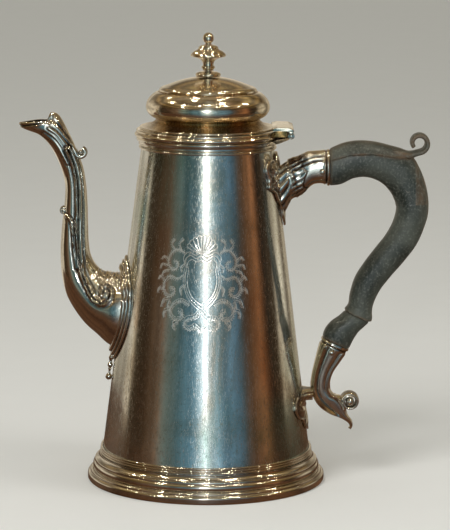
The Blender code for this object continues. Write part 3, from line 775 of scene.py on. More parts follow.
def make_finial():
    low, high = node_box("finial_collar")
    bore, top = 1.8, high[2]
    collar = [(bore, top), (2.9, top - 0.1), (4.8, top - 0.35), (6.3, top - 1.0)]
    collar += arc(5.9, top - 1.8, 0.85, 40, -60, 6) + [(5.9, low[2] + 0.1), (6.8, low[2]), (bore, low[2])]
    turned_piece("finial_seat", "finial_collar", "lid", collar, steps=96, spacing=0.4)
    low, high = node_box("finial_knop")
    top, ball = high[2], 3.0
    centre = top - ball
    knop = [(TIP, top)] + arc(0.0, centre, ball, 84, -58, 24)
    knop += [(1.7, 234.3), (1.7, 233.9), (2.5, 233.5), (3.6, 233.3), (4.8, 232.8), (5.3, 232.1), (5.3, 231.5)]
    knop += [(5.9, 231.0), (7.4, 230.3), (8.8, 229.2), (9.4, 228.2), (9.4, 227.7), (8.8, 227.3), (6.6, 226.8)]
    knop += [(4.6, 225.9), (3.3, 224.8), (2.9, 223.6), (2.9, 222.5), (3.5, 222.1), (3.7, 221.5), (3.2, 220.9)]
    knop += [(2.6, 220.5), (3.2, 220.0), (1.5, 219.95), (1.5, low[2]), (TIP, low[2])]
    turned_piece("finial_ball", "finial_knop", "lid", knop, steps=96, spacing=0.4, capped=True)


# ---------------------------------------------------------------- spout
# Stations: (point on the inner curve, point on the outer curve, half width).
SPOUT = [
    ((-36.0, 112.0), (-40.0, 72.0), 18.5), ((-47.5, 111.2), (-52.2, 72.6), 18.0),
    ((-51.8, 111.6), (-58.8, 78.3), 16.0), ((-55.6, 112.4), (-65.0, 83.9), 14.0),
    ((-58.6, 115.0), (-71.1, 92.0), 12.0), ((-60.8, 118.2), (-75.2, 99.8), 10.4),
    ((-62.4, 122.4), (-77.4, 109.2), 9.2), ((-63.1, 128.0), (-78.2, 120.4), 8.3),
    ((-63.5, 138.0), (-77.6, 135.0), 7.4), ((-63.8, 150.0), (-76.0, 149.5), 6.6),
    ((-64.6, 160.0), (-75.8, 159.4), 6.2), ((-65.9, 167.5), (-77.2, 165.8), 6.1),
    ((-67.7, 173.0), (-79.4, 171.6), 6.2), ((-70.2, 179.2), (-82.4, 177.6), 6.4),
    ((-73.0, 185.3), (-86.2, 182.5), 6.7), ((-75.6, 190.6), (-90.4, 185.7), 6.9),
    ((-77.6, 194.2), (-94.6, 187.2), 6.8), ((-79.2, 196.2), (-98.2, 188.8), 6.4),
    ((-80.8, 197.2), (-99.8, 190.5), 6.0), ((-82.4, 196.9), (-99.4, 192.0), 5.8),
]
SPOUT_RIDGE = [
    (-73.7, 177.7), (-70.5, 169.7), (-68.9, 161.6), (-68.4, 150.9), (-68.4, 129.4), (-67.9, 121.2),
    (-66.3, 112.0), (-63.1, 105.0), (-59.3, 99.0), (-55.6, 97.4), (-52.4, 99.5), (-51.6, 103.4),
    (-54.4, 104.4), (-55.2, 102.0),
]
SPOUT_LEAF = [
    (-77.2, 144.0), (-72.6, 140.4), (-71.4, 134.0), (-70.9, 126.0), (-69.4, 115.0),
]
SHELL_ZONE = ((-52.0, 110.0), (9.5, 6.5))
HEAD_FEATHERS = [[(-84.0, 189.4), (-79.6, 186.4), (-75.6, 181.6), (-71.0, 176.6)],
                 [(-82.6, 192.6), (-78.4, 188.6), (-74.0, 183.0), (-69.6, 178.4)],
                 [(-80.6, 194.8), (-76.8, 190.4), (-72.6, 184.6), (-68.8, 180.4)],
                 [(-86.6, 186.2), (-81.4, 182.4), (-77.4, 176.6), (-74.0, 170.6)]]
SPOUT_WALL = 1.3
COLLAR_TOP = 3.6
MOUTH_Z = 191.9
HOOD_X = -85.0


def shape_mouth(limb, wide=1.0):
    """Turn the last rings into a level, pointed trough with a crest behind it."""
    share = np.linspace(0.0, 1.0, len(limb.grid))[:, None]
    blend = ease((share - 0.92) / 0.08)
    x, z = limb.x[-1], limb.z[-1]
    rim = MOUTH_Z + 1.0 * ease((x - limb.x.min()) / 12.0) + 3.9 * ease((x - HOOD_X) / 1.5)
    narrowing = (0.5 + 0.5 * np.cos(limb.turn)) ** 0.30 * 1.20 * wide
    limb.grid[..., 2] += blend * (rim - z)
    limb.grid[..., 1] *= 1.0 + blend * (narrowing - 1.0)


def spout_relief(limb):
    """The cast ornament on both sides of the spout: its height in millimetres and its hollows."""
    x, z = limb.x, limb.z
    flank = ease((limb.side - 0.18) / 0.35)
    line = line_distance(x, z, smooth(SPOUT_RIDGE, 90))
    height = flank * (0.85 * ridge(line - 1.0, 0.62) - 0.50 * ridge(line, 0.42))
    height -= flank * 0.40 * ridge(line - 2.3, 0.6)
    hollow = flank * (ridge(line, 0.55) + 0.7 * ridge(line - 2.3, 0.6))
    curves = [(SPOUT_LEAF, 0.50)] + [(feather, 0.20) for feather in HEAD_FEATHERS]
    for curve, strength in curves:
        line = line_distance(x, z, smooth(curve, 24))
        height += flank * strength * (ridge(line, 0.55) - 0.8 * ridge(line - 1.25, 0.5))
        hollow += flank * (0.3 + strength) * ridge(line - 1.25, 0.5)
    (cx, cz), (rx, rz) = SHELL_ZONE
    zone = ease((1.0 - np.hypot((x - cx) / rx, (z - cz) / rz)) / 0.3)
    lobes = np.cos(2.6 * x + 0.9 * z) * np.cos(2.2 * z - 0.8 * x)
    height += zone * (0.25 + 0.35 * lobes)
    hollow += zone * np.clip(0.1 - lobes, 0.0, 1.0) ** 2
    steps = np.linalg.norm(np.diff(limb.grid, axis=0), axis=-1)
    to_mouth = np.vstack([np.cumsum(steps[::-1], axis=0)[::-1], np.zeros(limb.grid.shape[1])])
    front = ease((0.35 - limb.across) / 0.4)
    height += front * (0.45 * ridge(to_mouth - 0.8, 0.6) + 0.35 * ridge(to_mouth - 3.0, 0.6))
    height -= front * 0.40 * ridge(to_mouth - 1.9, 0.45)
    hollow += front * ridge(to_mouth - 1.9, 0.6)
    return height, hollow


def make_spout():
    outer = Limb(SPOUT, 330, 120)
    shape_mouth(outer)
    height, hollow = spout_relief(outer)
    outer.raise_by(height)
    bore = Limb(SPOUT, 330, 120, inset=SPOUT_WALL)
    shape_mouth(bore, 0.98)
    skin, lining = (seated(limb.grid, COLLAR_TOP - 1.0, -1.0) for limb in (outer, bore))
    lining = lining[::-4]
    recess = np.vstack([hollow, np.full(lining.shape[:2], 0.8)])
    whole = shell(np.concatenate([skin, lining]), wrap_rows=True, recess=recess)
    place("swan_spout", "spout", "cast", [whole])


def curl_piece(name, node, centre, lead, band, eye):
    """A strap that leaves the neck by its lead stations and winds into a curl."""
    strap = Limb(lead + scroll_stations(centre, *band), 120, 32, power=2.6)
    place(name, node, "cast", [strap.strap(0.8), scroll_eye(centre, *eye)])


def make_spout_curls():
    x, z = middle_of("spout_back_curl")
    x, z = x - 0.7, z - 1.9
    lead = [((x - 8.0, z + 10.6), (x - 9.2, z + 10.0), 3.2), ((x - 5.0, z + 5.4), (x - 6.4, z + 4.8), 3.3)]
    band = ((2.7, 2.2), 190, 235, (1.5, 1.1), (3.7, 3.0))
    curl_piece("curl_behind", "spout_back_curl", (x, z), lead, band, (1.1, 3.2))
    x, z = middle_of("spout_front_curl")
    x, z = x + 2.4, z - 0.8
    lead = [((x + 6.6, z - 7.6), (x + 5.4, z - 8.0), 3.0), ((x + 3.6, z - 3.2), (x + 2.2, z - 4.0), 3.1)]
    band = ((2.0, 1.3), -35, 300, (0.95, 0.65), (3.4, 2.8))
    curl_piece("curl_before", "spout_front_curl", (x, z), lead, band, (1.6, 3.2))


def make_spout_collar():
    low, high = node_box("spout_collar")
    centre_z = (low[2] + high[2]) / 2
    half_y, half_z = (high[1] - low[1]) / 2, (high[2] - low[2]) / 2
    turn = np.arange(200) * math.tau / 200
    lobes = 0.40 * np.abs(np.sin(9.0 * turn)) * ease((np.sin(turn) - 0.05) / 0.4)
    outline = np.stack([(half_y + lobes) * np.cos(turn), centre_z + (half_z + lobes) * np.sin(turn)], axis=-1)
    profile = [(1.0, 0.3), (1.0, 0.9), (0.99, 1.25), (0.97, 1.4), (0.952, 1.3), (0.94, 1.0), (0.93, 1.05),
               (0.926, 1.9), (0.915, 2.3), (0.89, 2.45), (0.872, 2.25), (0.862, 1.95), (0.852, 2.0),
               (0.846, 2.9), (0.83, 3.4), (0.80, 3.6), (0.77, 3.35), (0.74, 3.0), (0.66, 3.0), (0.62, 3.0),
               (0.62, 0.3)]

    def relief(share, angle):
        upper = ease((np.sin(angle) - 0.1) / 0.35)
        inside = ease((share - 0.76) / 0.05) * ease((0.985 - share) / 0.03)
        return 0.45 * upper * inside * np.cos(18.0 * angle)

    grid = cone_plate(outline, (0.0, centre_z), profile, -1.0, relief)
    shares = np.array(profile)[:, :1] + np.zeros(len(outline))
    recess = ridge(shares - 0.94, 0.012) + ridge(shares - 0.86, 0.012) + ridge(shares - 0.74, 0.03)
    place("stepped_collar", "spout_collar", "cast", [shell(grid, wrap_rows=True, recess=recess)])


def make_spout_drop():
    foot = node_box("spout_drop")[0][2]
    profile = [(TIP, 14.0), (0.9, 13.8), (1.3, 12.6), (1.0, 11.4), (0.7, 10.6), (0.8, 9.9), (1.35, 9.1),
               (1.5, 8.4), (1.2, 7.6), (0.7, 7.1), (0.95, 6.5), (0.65, 5.8), (0.5, 4.9), (0.65, 4.1),
               (0.9, 3.8)]
    profile += arc(0.0, 2.0, 1.8, 62, -86, 16)
    cosine, sine = math.cos(math.atan(TAPER)), math.sin(math.atan(TAPER))

    def hang(grid):
        """Tilt the drop with the body's wall and hang it in front of it."""
        x, y, z = (grid[..., k] for k in range(3))
        outward = x * cosine + z * sine - body_radius(foot) - 1.7
        return np.stack([outward, y, z * cosine - x * sine + foot], axis=-1)

    place("spout_pendant", "spout_drop", "cast", [turned(profile, 48, 0.3, capped=True, move=hang)])


# ---------------------------------------------------------------- handle and sockets
# From the mouth to the body: (upper point, lower point, half width).
UPPER_SOCKET = [
    ((64.8, 178.2), (64.8, 159.2), 8.4), ((61.4, 178.1), (61.9, 160.0), 8.35),
    ((58.4, 177.9), (59.2, 160.3), 8.2), ((56.3, 177.7), (56.6, 159.8), 8.1),
    ((53.1, 177.4), (54.5, 158.4), 8.0), ((51.0, 176.4), (52.4, 156.3), 7.8),
    ((48.4, 174.5), (49.7, 154.4), 7.5), ((44.7, 173.4), (46.6, 153.2), 7.6),
    ((41.5, 171.3), (43.9, 150.4), 8.4), ((37.9, 168.8), (41.6, 146.0), 9.4),
    ((32.0, 166.4), (38.0, 141.6), 10.0),
]
# From the mouth down to the tail: (point away from the body, point towards it, half width).
LOWER_SOCKET = [
    ((76.3, 71.0), (62.0, 77.4), 8.0), ((71.3, 63.7), (59.9, 69.5), 7.2), ((67.8, 58.2), (58.4, 63.0), 6.6),
    ((66.2, 52.6), (57.0, 55.8), 6.2), ((66.6, 48.2), (56.6, 50.2), 5.9), ((69.0, 45.4), (57.9, 44.8), 5.6),
    ((72.4, 44.6), (60.9, 39.9), 5.2), ((74.4, 41.0), (65.6, 36.2), 4.6), ((75.4, 36.9), (70.2, 33.9), 4.0),
    ((76.8, 33.9), (74.0, 31.9), 3.4), ((78.6, 31.4), (76.6, 30.0), 2.6), ((79.0, 28.6), (77.3, 28.4), 2.0),
    ((78.2, 26.6), (76.6, 27.4), 1.3),
]
# From the upper socket to the lower one: (point on the outer curve, point on the inner curve, half width).
HANDLE = [
    ((65.1, 178.2), (65.1, 159.2), 8.4), ((72.2, 181.2), (70.8, 160.0), 8.6),
    ((80.1, 182.5), (77.6, 163.2), 8.6), ((88.1, 182.0), (84.0, 163.9), 8.5),
    ((96.4, 180.1), (90.4, 162.0), 8.5), ((103.4, 178.1), (94.6, 159.0), 8.4),
    ((108.4, 175.4), (97.4, 155.6), 8.4), ((112.2, 169.4), (99.0, 152.6), 8.3),
    ((116.1, 159.2), (100.2, 149.4), 8.2), ((117.5, 151.0), (100.6, 147.0), 8.2),
    ((117.4, 144.6), (100.2, 144.2), 8.1), ((115.4, 137.0), (98.8, 139.6), 8.0),
    ((111.6, 128.0), (95.4, 133.0), 7.8), ((105.0, 118.8), (89.8, 125.6), 7.6),
    ((97.6, 110.0), (83.6, 117.2), 7.4), ((92.2, 102.6), (79.0, 109.4), 7.3),
    ((88.9, 95.0), (76.6, 101.2), 7.2), ((87.5, 86.6), (75.0, 93.0), 7.1),
    ((84.6, 83.4), (71.2, 88.8), 7.3), ((81.4, 80.4), (66.8, 85.6), 7.7), ((78.6, 76.0), (63.6, 81.6), 8.0),
    ((76.4, 71.4), (62.2, 77.8), 8.0),
]
RIDGE_STRIP = [
    (65.2, 173.0), (75.2, 176.1), (87.4, 176.6), (99.6, 174.7), (108.9, 174.3),
]
STEP_LINE = ((76.5, 90.8), (87.6, 85.9))
THUMB_CENTRE = (111.9, 182.3)


def make_upper_socket():
    limb = Limb(UPPER_SOCKET, 190, 120, power=2.2)
    along = limb.along
    flank = ease((limb.side - 0.2) / 0.4)
    mouth = 0.45 * ridge(along - 0.9, 0.6) - 0.40 * ridge(along - 1.9, 0.4) + 0.25 * ridge(along - 2.8, 0.5)
    line = smooth([(64.6, 174.6), (57.0, 174.0), (50.4, 171.6), (44.0, 168.0)], 20)
    strip = line_distance(limb.x, limb.z, line)
    fade = ease((along - 3.4) / 0.8) * ease((24.0 - along) / 5.0) * flank
    height = mouth + fade * (0.45 * ridge(strip, 0.55) + 0.30 * ridge(strip - 2.0, 0.45))
    height -= fade * 0.40 * ridge(strip - 1.1, 0.4)
    tongues = 12.5 + 3.0 * np.abs(np.cos(3.0 * limb.turn))
    leaf = ease((along - tongues) / 0.8) * ease((24.0 - along) / 4.0)
    veins = np.cos(22.0 * limb.turn + 0.25 * along)
    band = ridge(along - 21.0 - 1.6 * limb.across, 1.0)
    beads = 0.5 + 0.5 * np.cos(26.0 * limb.turn)
    ribs = np.cos(13.0 * limb.turn)
    shell_part = ease((along - 23.0) / 2.0)
    height += leaf * (0.40 + 0.16 * veins) + band * (0.45 + 0.25 * beads) + shell_part * 0.38 * ribs
    hollow = ridge(along - 1.9, 0.5) + fade * ridge(strip - 1.1, 0.45) + ridge(along - tongues + 0.3, 0.45)
    hollow += 0.8 * leaf * np.clip(-veins, 0.0, 1.0) + 0.5 * band * (1.0 - beads) ** 2
    hollow += 0.9 * shell_part * np.clip(-ribs, 0.0, 1.0)
    limb.raise_by(height)
    limb.grid = seated(limb.grid, 1.5, 1.0)
    place("upper_casting", "upper_socket", "cast", [limb.shell(recess=hollow)])


def palmette(name, node, outline, centre_z, plate, flutes, height, border, groove):
    """A leaf cast on the body: flutes inside a raised border, and tarnish in the groove between them."""
    flat_rows = 4

    def relief(share, angle):
        raised = (np.arange(len(share)) >= flat_rows)[:, None]
        inside = ease((share - 0.1) / 0.2) * ease((border - share) / 0.06) * raised
        return height * inside * np.cos(flutes * angle)

    grid = cone_plate(outline, (0.0, centre_z), plate, 1.0, relief)
    shares = np.array(plate)[:, :1] + np.zeros(len(outline))
    place(name, node, "cast", [shell(grid, capped=True, recess=ridge(shares - groove, 0.05))])


def make_upper_leaf():
    low, high = node_box("upper_socket_leaf")
    half, top, bottom = (high[1] - low[1]) / 2, high[2], low[2]
    outline = closed_outline([
        (0.0, top), (half * 0.24, top - 0.8), (half * 0.46, top - 4.6), (half * 0.78, top - 2.6),
        (half, top - 7.2), (half * 0.94, top - 13.6), (half * 0.98, top - 17.0), (half * 0.72, top - 21.0),
        (half * 0.60, top - 25.0), (half * 0.34, top - 29.6), (half * 0.26, top - 34.6), (0.0, bottom)], 220)
    plate = [(0.03, 0.3), (1.0, 0.3), (1.0, 1.0), (0.98, 1.45), (0.94, 1.6), (0.89, 1.3), (0.84, 1.35),
             (0.74, 1.7), (0.6, 1.9), (0.4, 1.8), (0.03, 1.7)]
    palmette("upper_palmette", "upper_socket_leaf", outline, top - 14.4, plate, 16.0, 0.38, 0.93, 0.87)


def make_lower_socket():
    limb = Limb(LOWER_SOCKET, 230, 96, power=2.3)
    along, across = limb.along, limb.across + 0.0 * limb.along
    mouth = 0.4 * ridge(along - 0.9, 0.6) - 0.35 * ridge(along - 1.9, 0.4)
    band = ease((along - 2.6) / 1.2) * ease((along[-1, 0] - 8.0 - along) / 6.0)
    edges = 0.60 * ease((-0.52 - across) / 0.10) + 0.45 * ease((across - 0.62) / 0.10)
    grooves = ridge(across + 0.44, 0.07) + 0.8 * ridge(across - 0.56, 0.06)
    beads = ridge(across + 0.62, 0.06) + 0.7 * ridge(across - 0.72, 0.06)
    limb.raise_by(mouth + band * (edges + 0.60 * beads - 0.60 * grooves))
    hollow = ridge(along - 1.9, 0.5) + 0.8 * band * grooves
    place("lower_casting", "lower_socket", "cast", [limb.shell(recess=hollow)])


def make_volute():
    low, high = node_box("lower_volute")
    centre, radius = middle_of("lower_volute"), (high[0] - low[0]) / 2 + 0.6
    stations = scroll_stations(centre, (radius - 1.1, 3.1), 168, -430, (1.15, 0.8), (5.0, 4.4))
    coil = Limb(stations, 90, 28, power=2.6)
    place("volute_coil", "lower_volute", "cast", [coil.strap(0.9), scroll_eye(centre, 2.3, 5.2)])


def make_strut():
    low, high = node_box("lower_strut")
    middle, half_height = (low[2] + high[2]) / 2, (high[2] - low[2]) / 2
    sections = smooth([(46.0, 15.0), (49.0, 13.2), (52.0, 10.2), (54.4, 7.2), (57.2, 5.8)], 50)
    turn = np.arange(80) * math.tau / 80
    reeds = 0.95 * np.abs(np.cos(1.5 * np.pi * np.sin(turn)))
    rows = []
    for x, half_width in sections:
        y = rounded(np.cos(turn), 0.6) * (half_width + reeds - 0.7)
        z = middle + rounded(np.sin(turn), 0.8) * half_height
        rows.append(np.stack([np.full(len(turn), x), y, z], axis=-1))
    grid = seated(np.array(rows), 0.3, 1.0)
    recess = np.repeat(1.0 - reeds[None, :] / 0.3, len(grid), axis=0)
    place("reeded_strut", "lower_strut", "cast", [shell(grid, capped=True, recess=recess)])


def make_shield():
    low, high = node_box("lower_shield")
    top, bottom, half = high[2], low[2], high[1]
    outline = closed_outline([
        (0.0, top - 4.8), (half * 0.34, top - 4.6), (half * 0.60, top - 1.4), (half * 0.80, top),
        (half * 0.96, top - 2.6), (half, top - 6.4), (half * 0.86, top - 11.4), (half * 0.62, top - 13.6),
        (half * 0.50, top - 17.6), (half * 0.22, bottom + 1.4), (0.0, bottom)], 200)
    plate = [(0.03, 0.3), (1.0, 0.3), (1.0, 0.7), (0.98, 0.95), (0.94, 1.05), (0.88, 0.75), (0.82, 0.8),
             (0.7, 1.1), (0.4, 1.1), (0.03, 1.0)]
    palmette("lower_palmette", "lower_shield", outline, bottom + 12.6, plate, 14.0, 0.28, 0.90, 0.86)


def make_pins():
    """Domed rivets through the sockets and the tenons."""
    for name, node in (("upper_rivet", "upper_socket_pin"), ("lower_rivet", "lower_socket_pin")):
        half = node_box(node)[1][1] + 0.4
        end = [(TIP, half), (0.7, half - 0.1), (1.3, half - 0.5), (1.55, half - 1.1), (1.2, half - 1.3)]
        place(name, node, "cast", [side_pin(end, *middle_of(node))])


def make_handle():
    limb = Limb(HANDLE, 420, 128, power=2.35)
    x, z = limb.x, limb.z
    strip_z = np.interp(x, [p[0] for p in RIDGE_STRIP], [p[1] for p in RIDGE_STRIP])
    above = (z - strip_z) * ease((110.5 - x) / 3.0) * (z > 150.0)
    (ax, az), (bx, bz) = STEP_LINE
    length = math.hypot(bx - ax, bz - az)
    past = ((x - ax) * (az - bz) + (z - az) * (bx - ax)) / length
    near = (np.abs(past) < 8.0) & (z < 100.0)
    lip = np.where(near, 0.75 * ease(past / 0.5) * ease((5.0 - past) / 4.5), 0.0)
    groove = np.where(near, ridge(past + 0.35, 0.5), 0.0)
    mouths = np.minimum(limb.along, limb.along[-1] - limb.along)
    limb.raise_by(0.80 * ease((above + 0.1) / 0.4) + lip - 0.35 * groove - 0.25 * ridge(mouths, 0.5))
    edge = 0.8 * ridge(above - 0.3, 0.7) * (z > 150.0) + 0.6 * ridge(mouths, 1.2)
    edge = edge + 0.7 * ridge(past - 0.6, 0.6) * near + 0.45 * ridge(limb.across - 1.0, 0.10)
    lead = [((97.6, 180.0), (97.6, 173.6), 7.2), ((102.6, 178.7), (102.2, 173.6), 7.0),
            ((107.2, 177.8), (106.8, 173.9), 6.6)]
    wound = scroll_stations(THUMB_CENTRE, (5.0, 3.3), -84, 300, (1.5, 1.15), (6.2, 5.2), 40)
    curl = Limb(lead + wound, 200, 48, power=3.0)
    curl_edge = ridge(1.0 - curl.side, 0.35) + 0.0 * curl.along
    place("wooden_grip", "handle_grip", "wood", [limb.shell(edge=edge), curl.shell(edge=0.7 * curl_edge)])


# ---------------------------------------------------------------- hinge
def knuckle(low, high, axis, radius, plate):
    """A knuckle and its web to a leaf; plate is (low x, high x, z) where the web meets the leaf."""
    x, z = axis
    turn = np.radians(np.arange(0.0, 360.0, 7.5))
    ring = np.stack([x + radius * np.cos(turn), z + radius * np.sin(turn)], axis=-1)
    web = softened([(plate[0], z), (plate[0], plate[2]), (plate[1], plate[2]), (plate[1], z)], 0.6, 1)
    grids = [extruded(ring, (high - low) / 2, 0.25), extruded(web, (high - low) / 2, 0.2)]
    for grid in grids:
        grid[..., 1] += (low + high) / 2
    return [shell(grid, capped=True) for grid in grids]


def make_hinge():
    low, high = node_box("hinge_pin")
    axis = middle_of("hinge_pin")
    axis_x, pin_radius = axis[0], (high[2] - low[2]) / 2
    lid_low, lid_high = node_box("hinge_lid_leaf")
    body_low = node_box("hinge_body_leaf")[0]
    lid_x, top, body_x, base = lid_low[0], lid_high[2], body_low[0], body_low[2]
    half = lid_high[1] + 1.6
    reach = max(high[1], half + 0.7)
    count, radius, gap = 5, 1.75, 0.12
    pitch = 2.0 * half / count
    flap = softened([(lid_x + 0.6, top - 1.7), (lid_x + 0.6, top - 0.4), (lid_x + 3.0, top + 0.2),
                     (axis_x - 1.0, top), (axis_x + 1.2, top - 0.9), (axis_x + 1.6, top - 2.2),
                     (axis_x - 1.0, top - 1.9), (axis_x - 2.4, top - 1.6)], 0.7, 3)
    block = softened([(lid_x + 2.0, top - 5.2), (lid_x + 2.0, top - 1.4), (axis_x - 2.1, top - 1.4),
                      (axis_x - 2.1, top - 5.2)], 0.7, 2)
    plate = softened([(body_x + 0.2, base), (body_x + 0.2, base + 2.1), (axis_x - 1.8, base + 3.4),
                      (axis_x - 0.4, base + 3.2), (axis_x - 1.4, base + 2.2), (body_x + 2.0, base)], 0.7, 3)
    flap, block = extruded(flap, half - 0.4, 0.6), extruded(block, half - 2.2, 0.4)
    plate = extruded(plate, half - 3.0, 0.5)
    lid_shells = [shell(flap, capped=True), shell(block, capped=True, recess=np.ones(block.shape[:2]))]
    body_shells = [shell(plate, capped=True, recess=np.ones(plate.shape[:2]))]
    for index in range(count):
        near = -half + index * pitch + gap
        far = near + pitch - 2 * gap
        if index % 2:
            body_shells += knuckle(near, far, axis, radius, (axis_x - 1.5, axis_x - 0.3, base + 2.7))
        else:
            lid_shells += knuckle(near, far, axis, radius, (axis_x - 1.2, axis_x + 1.0, top - 1.8))
    place("hinge_flap", "hinge_lid_leaf", "lid", lid_shells, 35.0)
    place("hinge_bracket", "hinge_body_leaf", "moulding", body_shells, 35.0)
    end = [(TIP, reach), (0.5, reach - 0.05), (pin_radius + 0.3, reach - 0.25), (pin_radius, reach - 0.5)]
    place("hinge_wire", "hinge_pin", "moulding", [side_pin(end, *axis, steps=32)])


# ---------------------------------------------------------------- stage
CAMERA = {"place": (0.0096, -1.453, 0.3595), "pitch": 9.52, "roll": 0.4, "lens": 187.3}
PAPER = (0.80, 0.80, 0.78)
LIGHT_TARGET = (0.0, 0.0, 0.12)


def make_camera():
    data = bpy.data.cameras.new("camera")
    data.lens = CAMERA["lens"]
    data.sensor_width = 36.0
    data.clip_end = 30.0
    camera = add_object("camera", data)
    tilt = Matrix.Rotation(math.radians(90.0 - CAMERA["pitch"]), 4, "X")
    roll = Matrix.Rotation(math.radians(CAMERA["roll"]), 4, "Z")
    camera.matrix_world = Matrix.Translation(CAMERA["place"]) @ tilt @ roll
    bpy.context.scene.camera = camera


def area_light(name, location, size, power, colour=(1.0, 1.0, 1.0), hidden_from=None):
    """A soft light that faces the pot; one kind of ray, glossy or diffuse, may be kept from seeing it."""
    data = bpy.data.lights.new(name, "AREA")
    data.shape = "RECTANGLE"
    data.size, data.size_y = size
    data.energy = power
    data.color = colour
    light = add_object(name, data)
    aim = (Vector(LIGHT_TARGET) - Vector(location)).to_track_quat("-Z", "Y")
    light.matrix_world = Matrix.Translation(location) @ aim.to_matrix().to_4x4()
    if hidden_from:
        setattr(light, "visible_" + hidden_from, False)


def paper_material():
    """Plain pale paper for the floor."""
    s = Shader("floor_paper")
    s.set("Roughness", 0.6)
    s.set("Base Color", s.mix(s.noise(30.0), PAPER, [part * 0.97 for part in PAPER]))
    return s.material


def card(name, half_x, low_y, high_y, z, material):
    """A level rectangle of the stage."""
    mesh = bpy.data.meshes.new(name)
    corners = [(-half_x, low_y, z), (half_x, low_y, z), (half_x, high_y, z), (-half_x, high_y, z)]
    mesh.from_pydata(corners, [], [(0, 1, 2, 3)])
    mesh.materials.append(material)
    obj = add_object(name, mesh)
    obj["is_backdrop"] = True
    return obj


def table_material():
    """Warm wood that fades away towards the camera, for the lower reflections."""
    s = Shader("warm_table")
    grain = s.noise(1.0, 4.0, s.stretched((3.0, 40.0, 1.0)), 0.6)
    s.set("Base Color", s.mix(s.spread(grain, 0.35, 0.65), (0.10, 0.036, 0.016), (0.32, 0.135, 0.06)))
    s.set("Roughness", 0.5)
    depth = s.node("SeparateXYZ", {0: s.coordinates}).outputs[1]
    s.set("Alpha", s.spread(depth, -0.70, -0.10))
    return s.material


def make_floor():
    floor = card("floor", 6.0, -6.0, 6.0, 0.0, paper_material())
    floor.visible_glossy = False
    table = card("table_reflection", 0.55, -0.75, 0.30, -0.0004, table_material())
    table.visible_camera = False
    table.visible_diffuse = False
    table.visible_shadow = False


# What the silver sees round the horizon, by degrees from the camera's side towards the handle.
AROUND = [
    (-180, (0.52, 0.46, 0.36)), (-116, (0.52, 0.46, 0.36)), (-106, (0.42, 0.35, 0.25)),
    (-102, (0.03, 0.022, 0.012)), (-76, (0.05, 0.028, 0.014)), (-58, (0.12, 0.075, 0.045)),
    (-48, (0.16, 0.20, 0.17)), (-34, (0.05, 0.09, 0.095)), (-14, (0.10, 0.20, 0.25)),
    (-6, (0.22, 0.38, 0.44)), (0, (0.82, 0.97, 1.0)), (6, (0.26, 0.42, 0.49)), (22, (0.14, 0.25, 0.32)),
    (40, (0.09, 0.16, 0.21)), (47, (0.035, 0.045, 0.045)), (60, (0.15, 0.075, 0.035)),
    (76, (0.24, 0.10, 0.04)), (88, (0.02, 0.015, 0.01)), (104, (0.04, 0.024, 0.012)),
    (108, (0.40, 0.32, 0.22)), (126, (0.52, 0.46, 0.34)), (140, (0.08, 0.06, 0.04)),
    (150, (0.34, 0.28, 0.19)), (180, (0.52, 0.46, 0.36)),
]
# What it sees overhead, from straight down at 0 to straight up at 1.
ABOVE = [
    (0.0, (0.10, 0.06, 0.03)), (0.60, (0.030, 0.017, 0.006)), (0.65, (0.11, 0.065, 0.02)),
    (0.70, (0.022, 0.012, 0.005)), (0.75, (0.24, 0.15, 0.05)), (0.80, (0.035, 0.02, 0.008)),
    (0.86, (0.36, 0.25, 0.095)), (0.91, (0.06, 0.035, 0.013)), (0.96, (0.16, 0.11, 0.05)),
    (1.0, (0.10, 0.07, 0.03)),
]


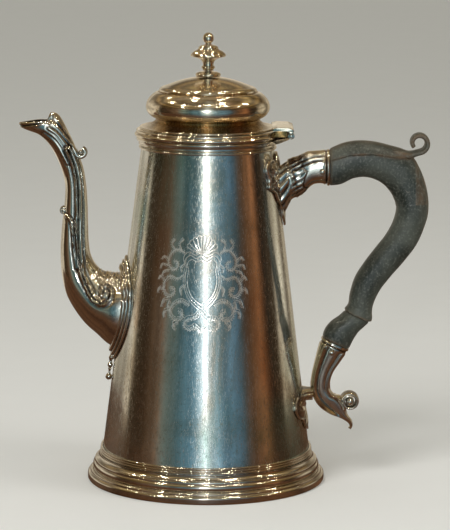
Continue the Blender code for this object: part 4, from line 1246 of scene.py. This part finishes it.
def make_world():
    """Pale to the camera; to the silver, a dark room with bright bands around the horizon."""
    world = bpy.data.worlds.new("studio")
    bpy.context.scene.world = world
    world.use_nodes = True
    world.node_tree.nodes.clear()
    s = Nodes(world.node_tree, "Generated")
    x, y, z = s.node("SeparateXYZ", {0: s.coordinates}).outputs
    azimuth = s.math("ARCTAN2", x, s.math("MULTIPLY", y, -1.0))
    horizon = [((degrees + 180.0) / 360.0, colour) for degrees, colour in AROUND]
    around = s.ramp(s.math("ADD", s.math("DIVIDE", azimuth, math.tau), 0.5), horizon)
    above = s.ramp(s.math("ADD", s.math("MULTIPLY", z, 0.5), 0.5), ABOVE)
    room = s.mix(s.spread(z, 0.16, 0.40, 0.0, 0.85), around, above)
    near_front = s.spread(s.math("ABSOLUTE", azimuth), 0.30, 0.02)
    glow = s.math("MULTIPLY", s.math("MULTIPLY", near_front, near_front), s.spread(z, 0.80, 0.25))
    uneven = s.spread(s.noise(5.0, 2.0), 0.35, 0.65, 0.6, 1.4)
    dark = s.node("Background", {0: s.mix(glow, room, (0.80, 0.93, 0.95)), 1: uneven})
    pale = s.node("Background", {0: (0.50, 0.50, 0.465)})
    in_silver = s.node("LightPath").outputs["Is Glossy Ray"]
    seen = s.node("MixShader", {0: in_silver, 1: pale.outputs[0], 2: dark.outputs[0]})
    s.node("OutputWorld", {0: seen.outputs[0]})


CEILING_SPOTS = 15


def make_lights():
    area_light("key", (-0.75, -1.1, 1.35), (0.7, 0.7), 16.0, (1.0, 0.99, 0.97), "glossy")
    area_light("side", (1.1, -0.4, 0.7), (0.5, 0.9), 5.0, (1.0, 0.98, 0.95), "glossy")
    area_light("flash", (-0.06, -1.46, 0.44), (0.06, 0.04), 1.6)
    for index in range(CEILING_SPOTS):
        turn, reach = 2.4 * index, 0.35 + 0.10 * index
        spot = (reach * math.cos(turn), reach * math.sin(turn) - 0.3, 1.2 + 0.28 * (index % 4))
        area_light(f"ceiling_{index}", spot, (0.055, 0.055), 0.95, (1.0, 0.88, 0.66), "diffuse")
    area_light("streak", (-0.02, -1.6, 0.28), (0.16, 0.6), 0.35, hidden_from="diffuse")


# ---------------------------------------------------------------- assembly
def paint_remaining_nodes():
    """CAD nodes whose shape is right keep it, with the fine materials."""
    slots = {entry["node"]: entry["material_slot"] for entry in frame["record"]["subparts"]}
    by_slot = {slot: MATERIALS[finish] for finish, (slot, _) in FINISHES.items()}
    for name, obj in frame["nodes"].items():
        obj.data.materials.clear()
        obj.data.materials.append(by_slot[slots[name]])


bpy.context.scene.view_settings.view_transform = "Standard"
make_camera()
make_floor()
make_world()
make_lights()
paint_remaining_nodes()
make_barrel()
make_foot()
make_rim()
make_lid()
make_finial()
make_spout()
make_spout_curls()
make_spout_collar()
make_spout_drop()
make_upper_socket()
make_upper_leaf()
make_lower_socket()
make_volute()
make_strut()
make_shield()
make_pins()
make_handle()
make_hinge()

boxes = {"cad": cad_box, "visual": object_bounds()}
{key: [list(corner) for corner in box] for key, box in boxes.items()}
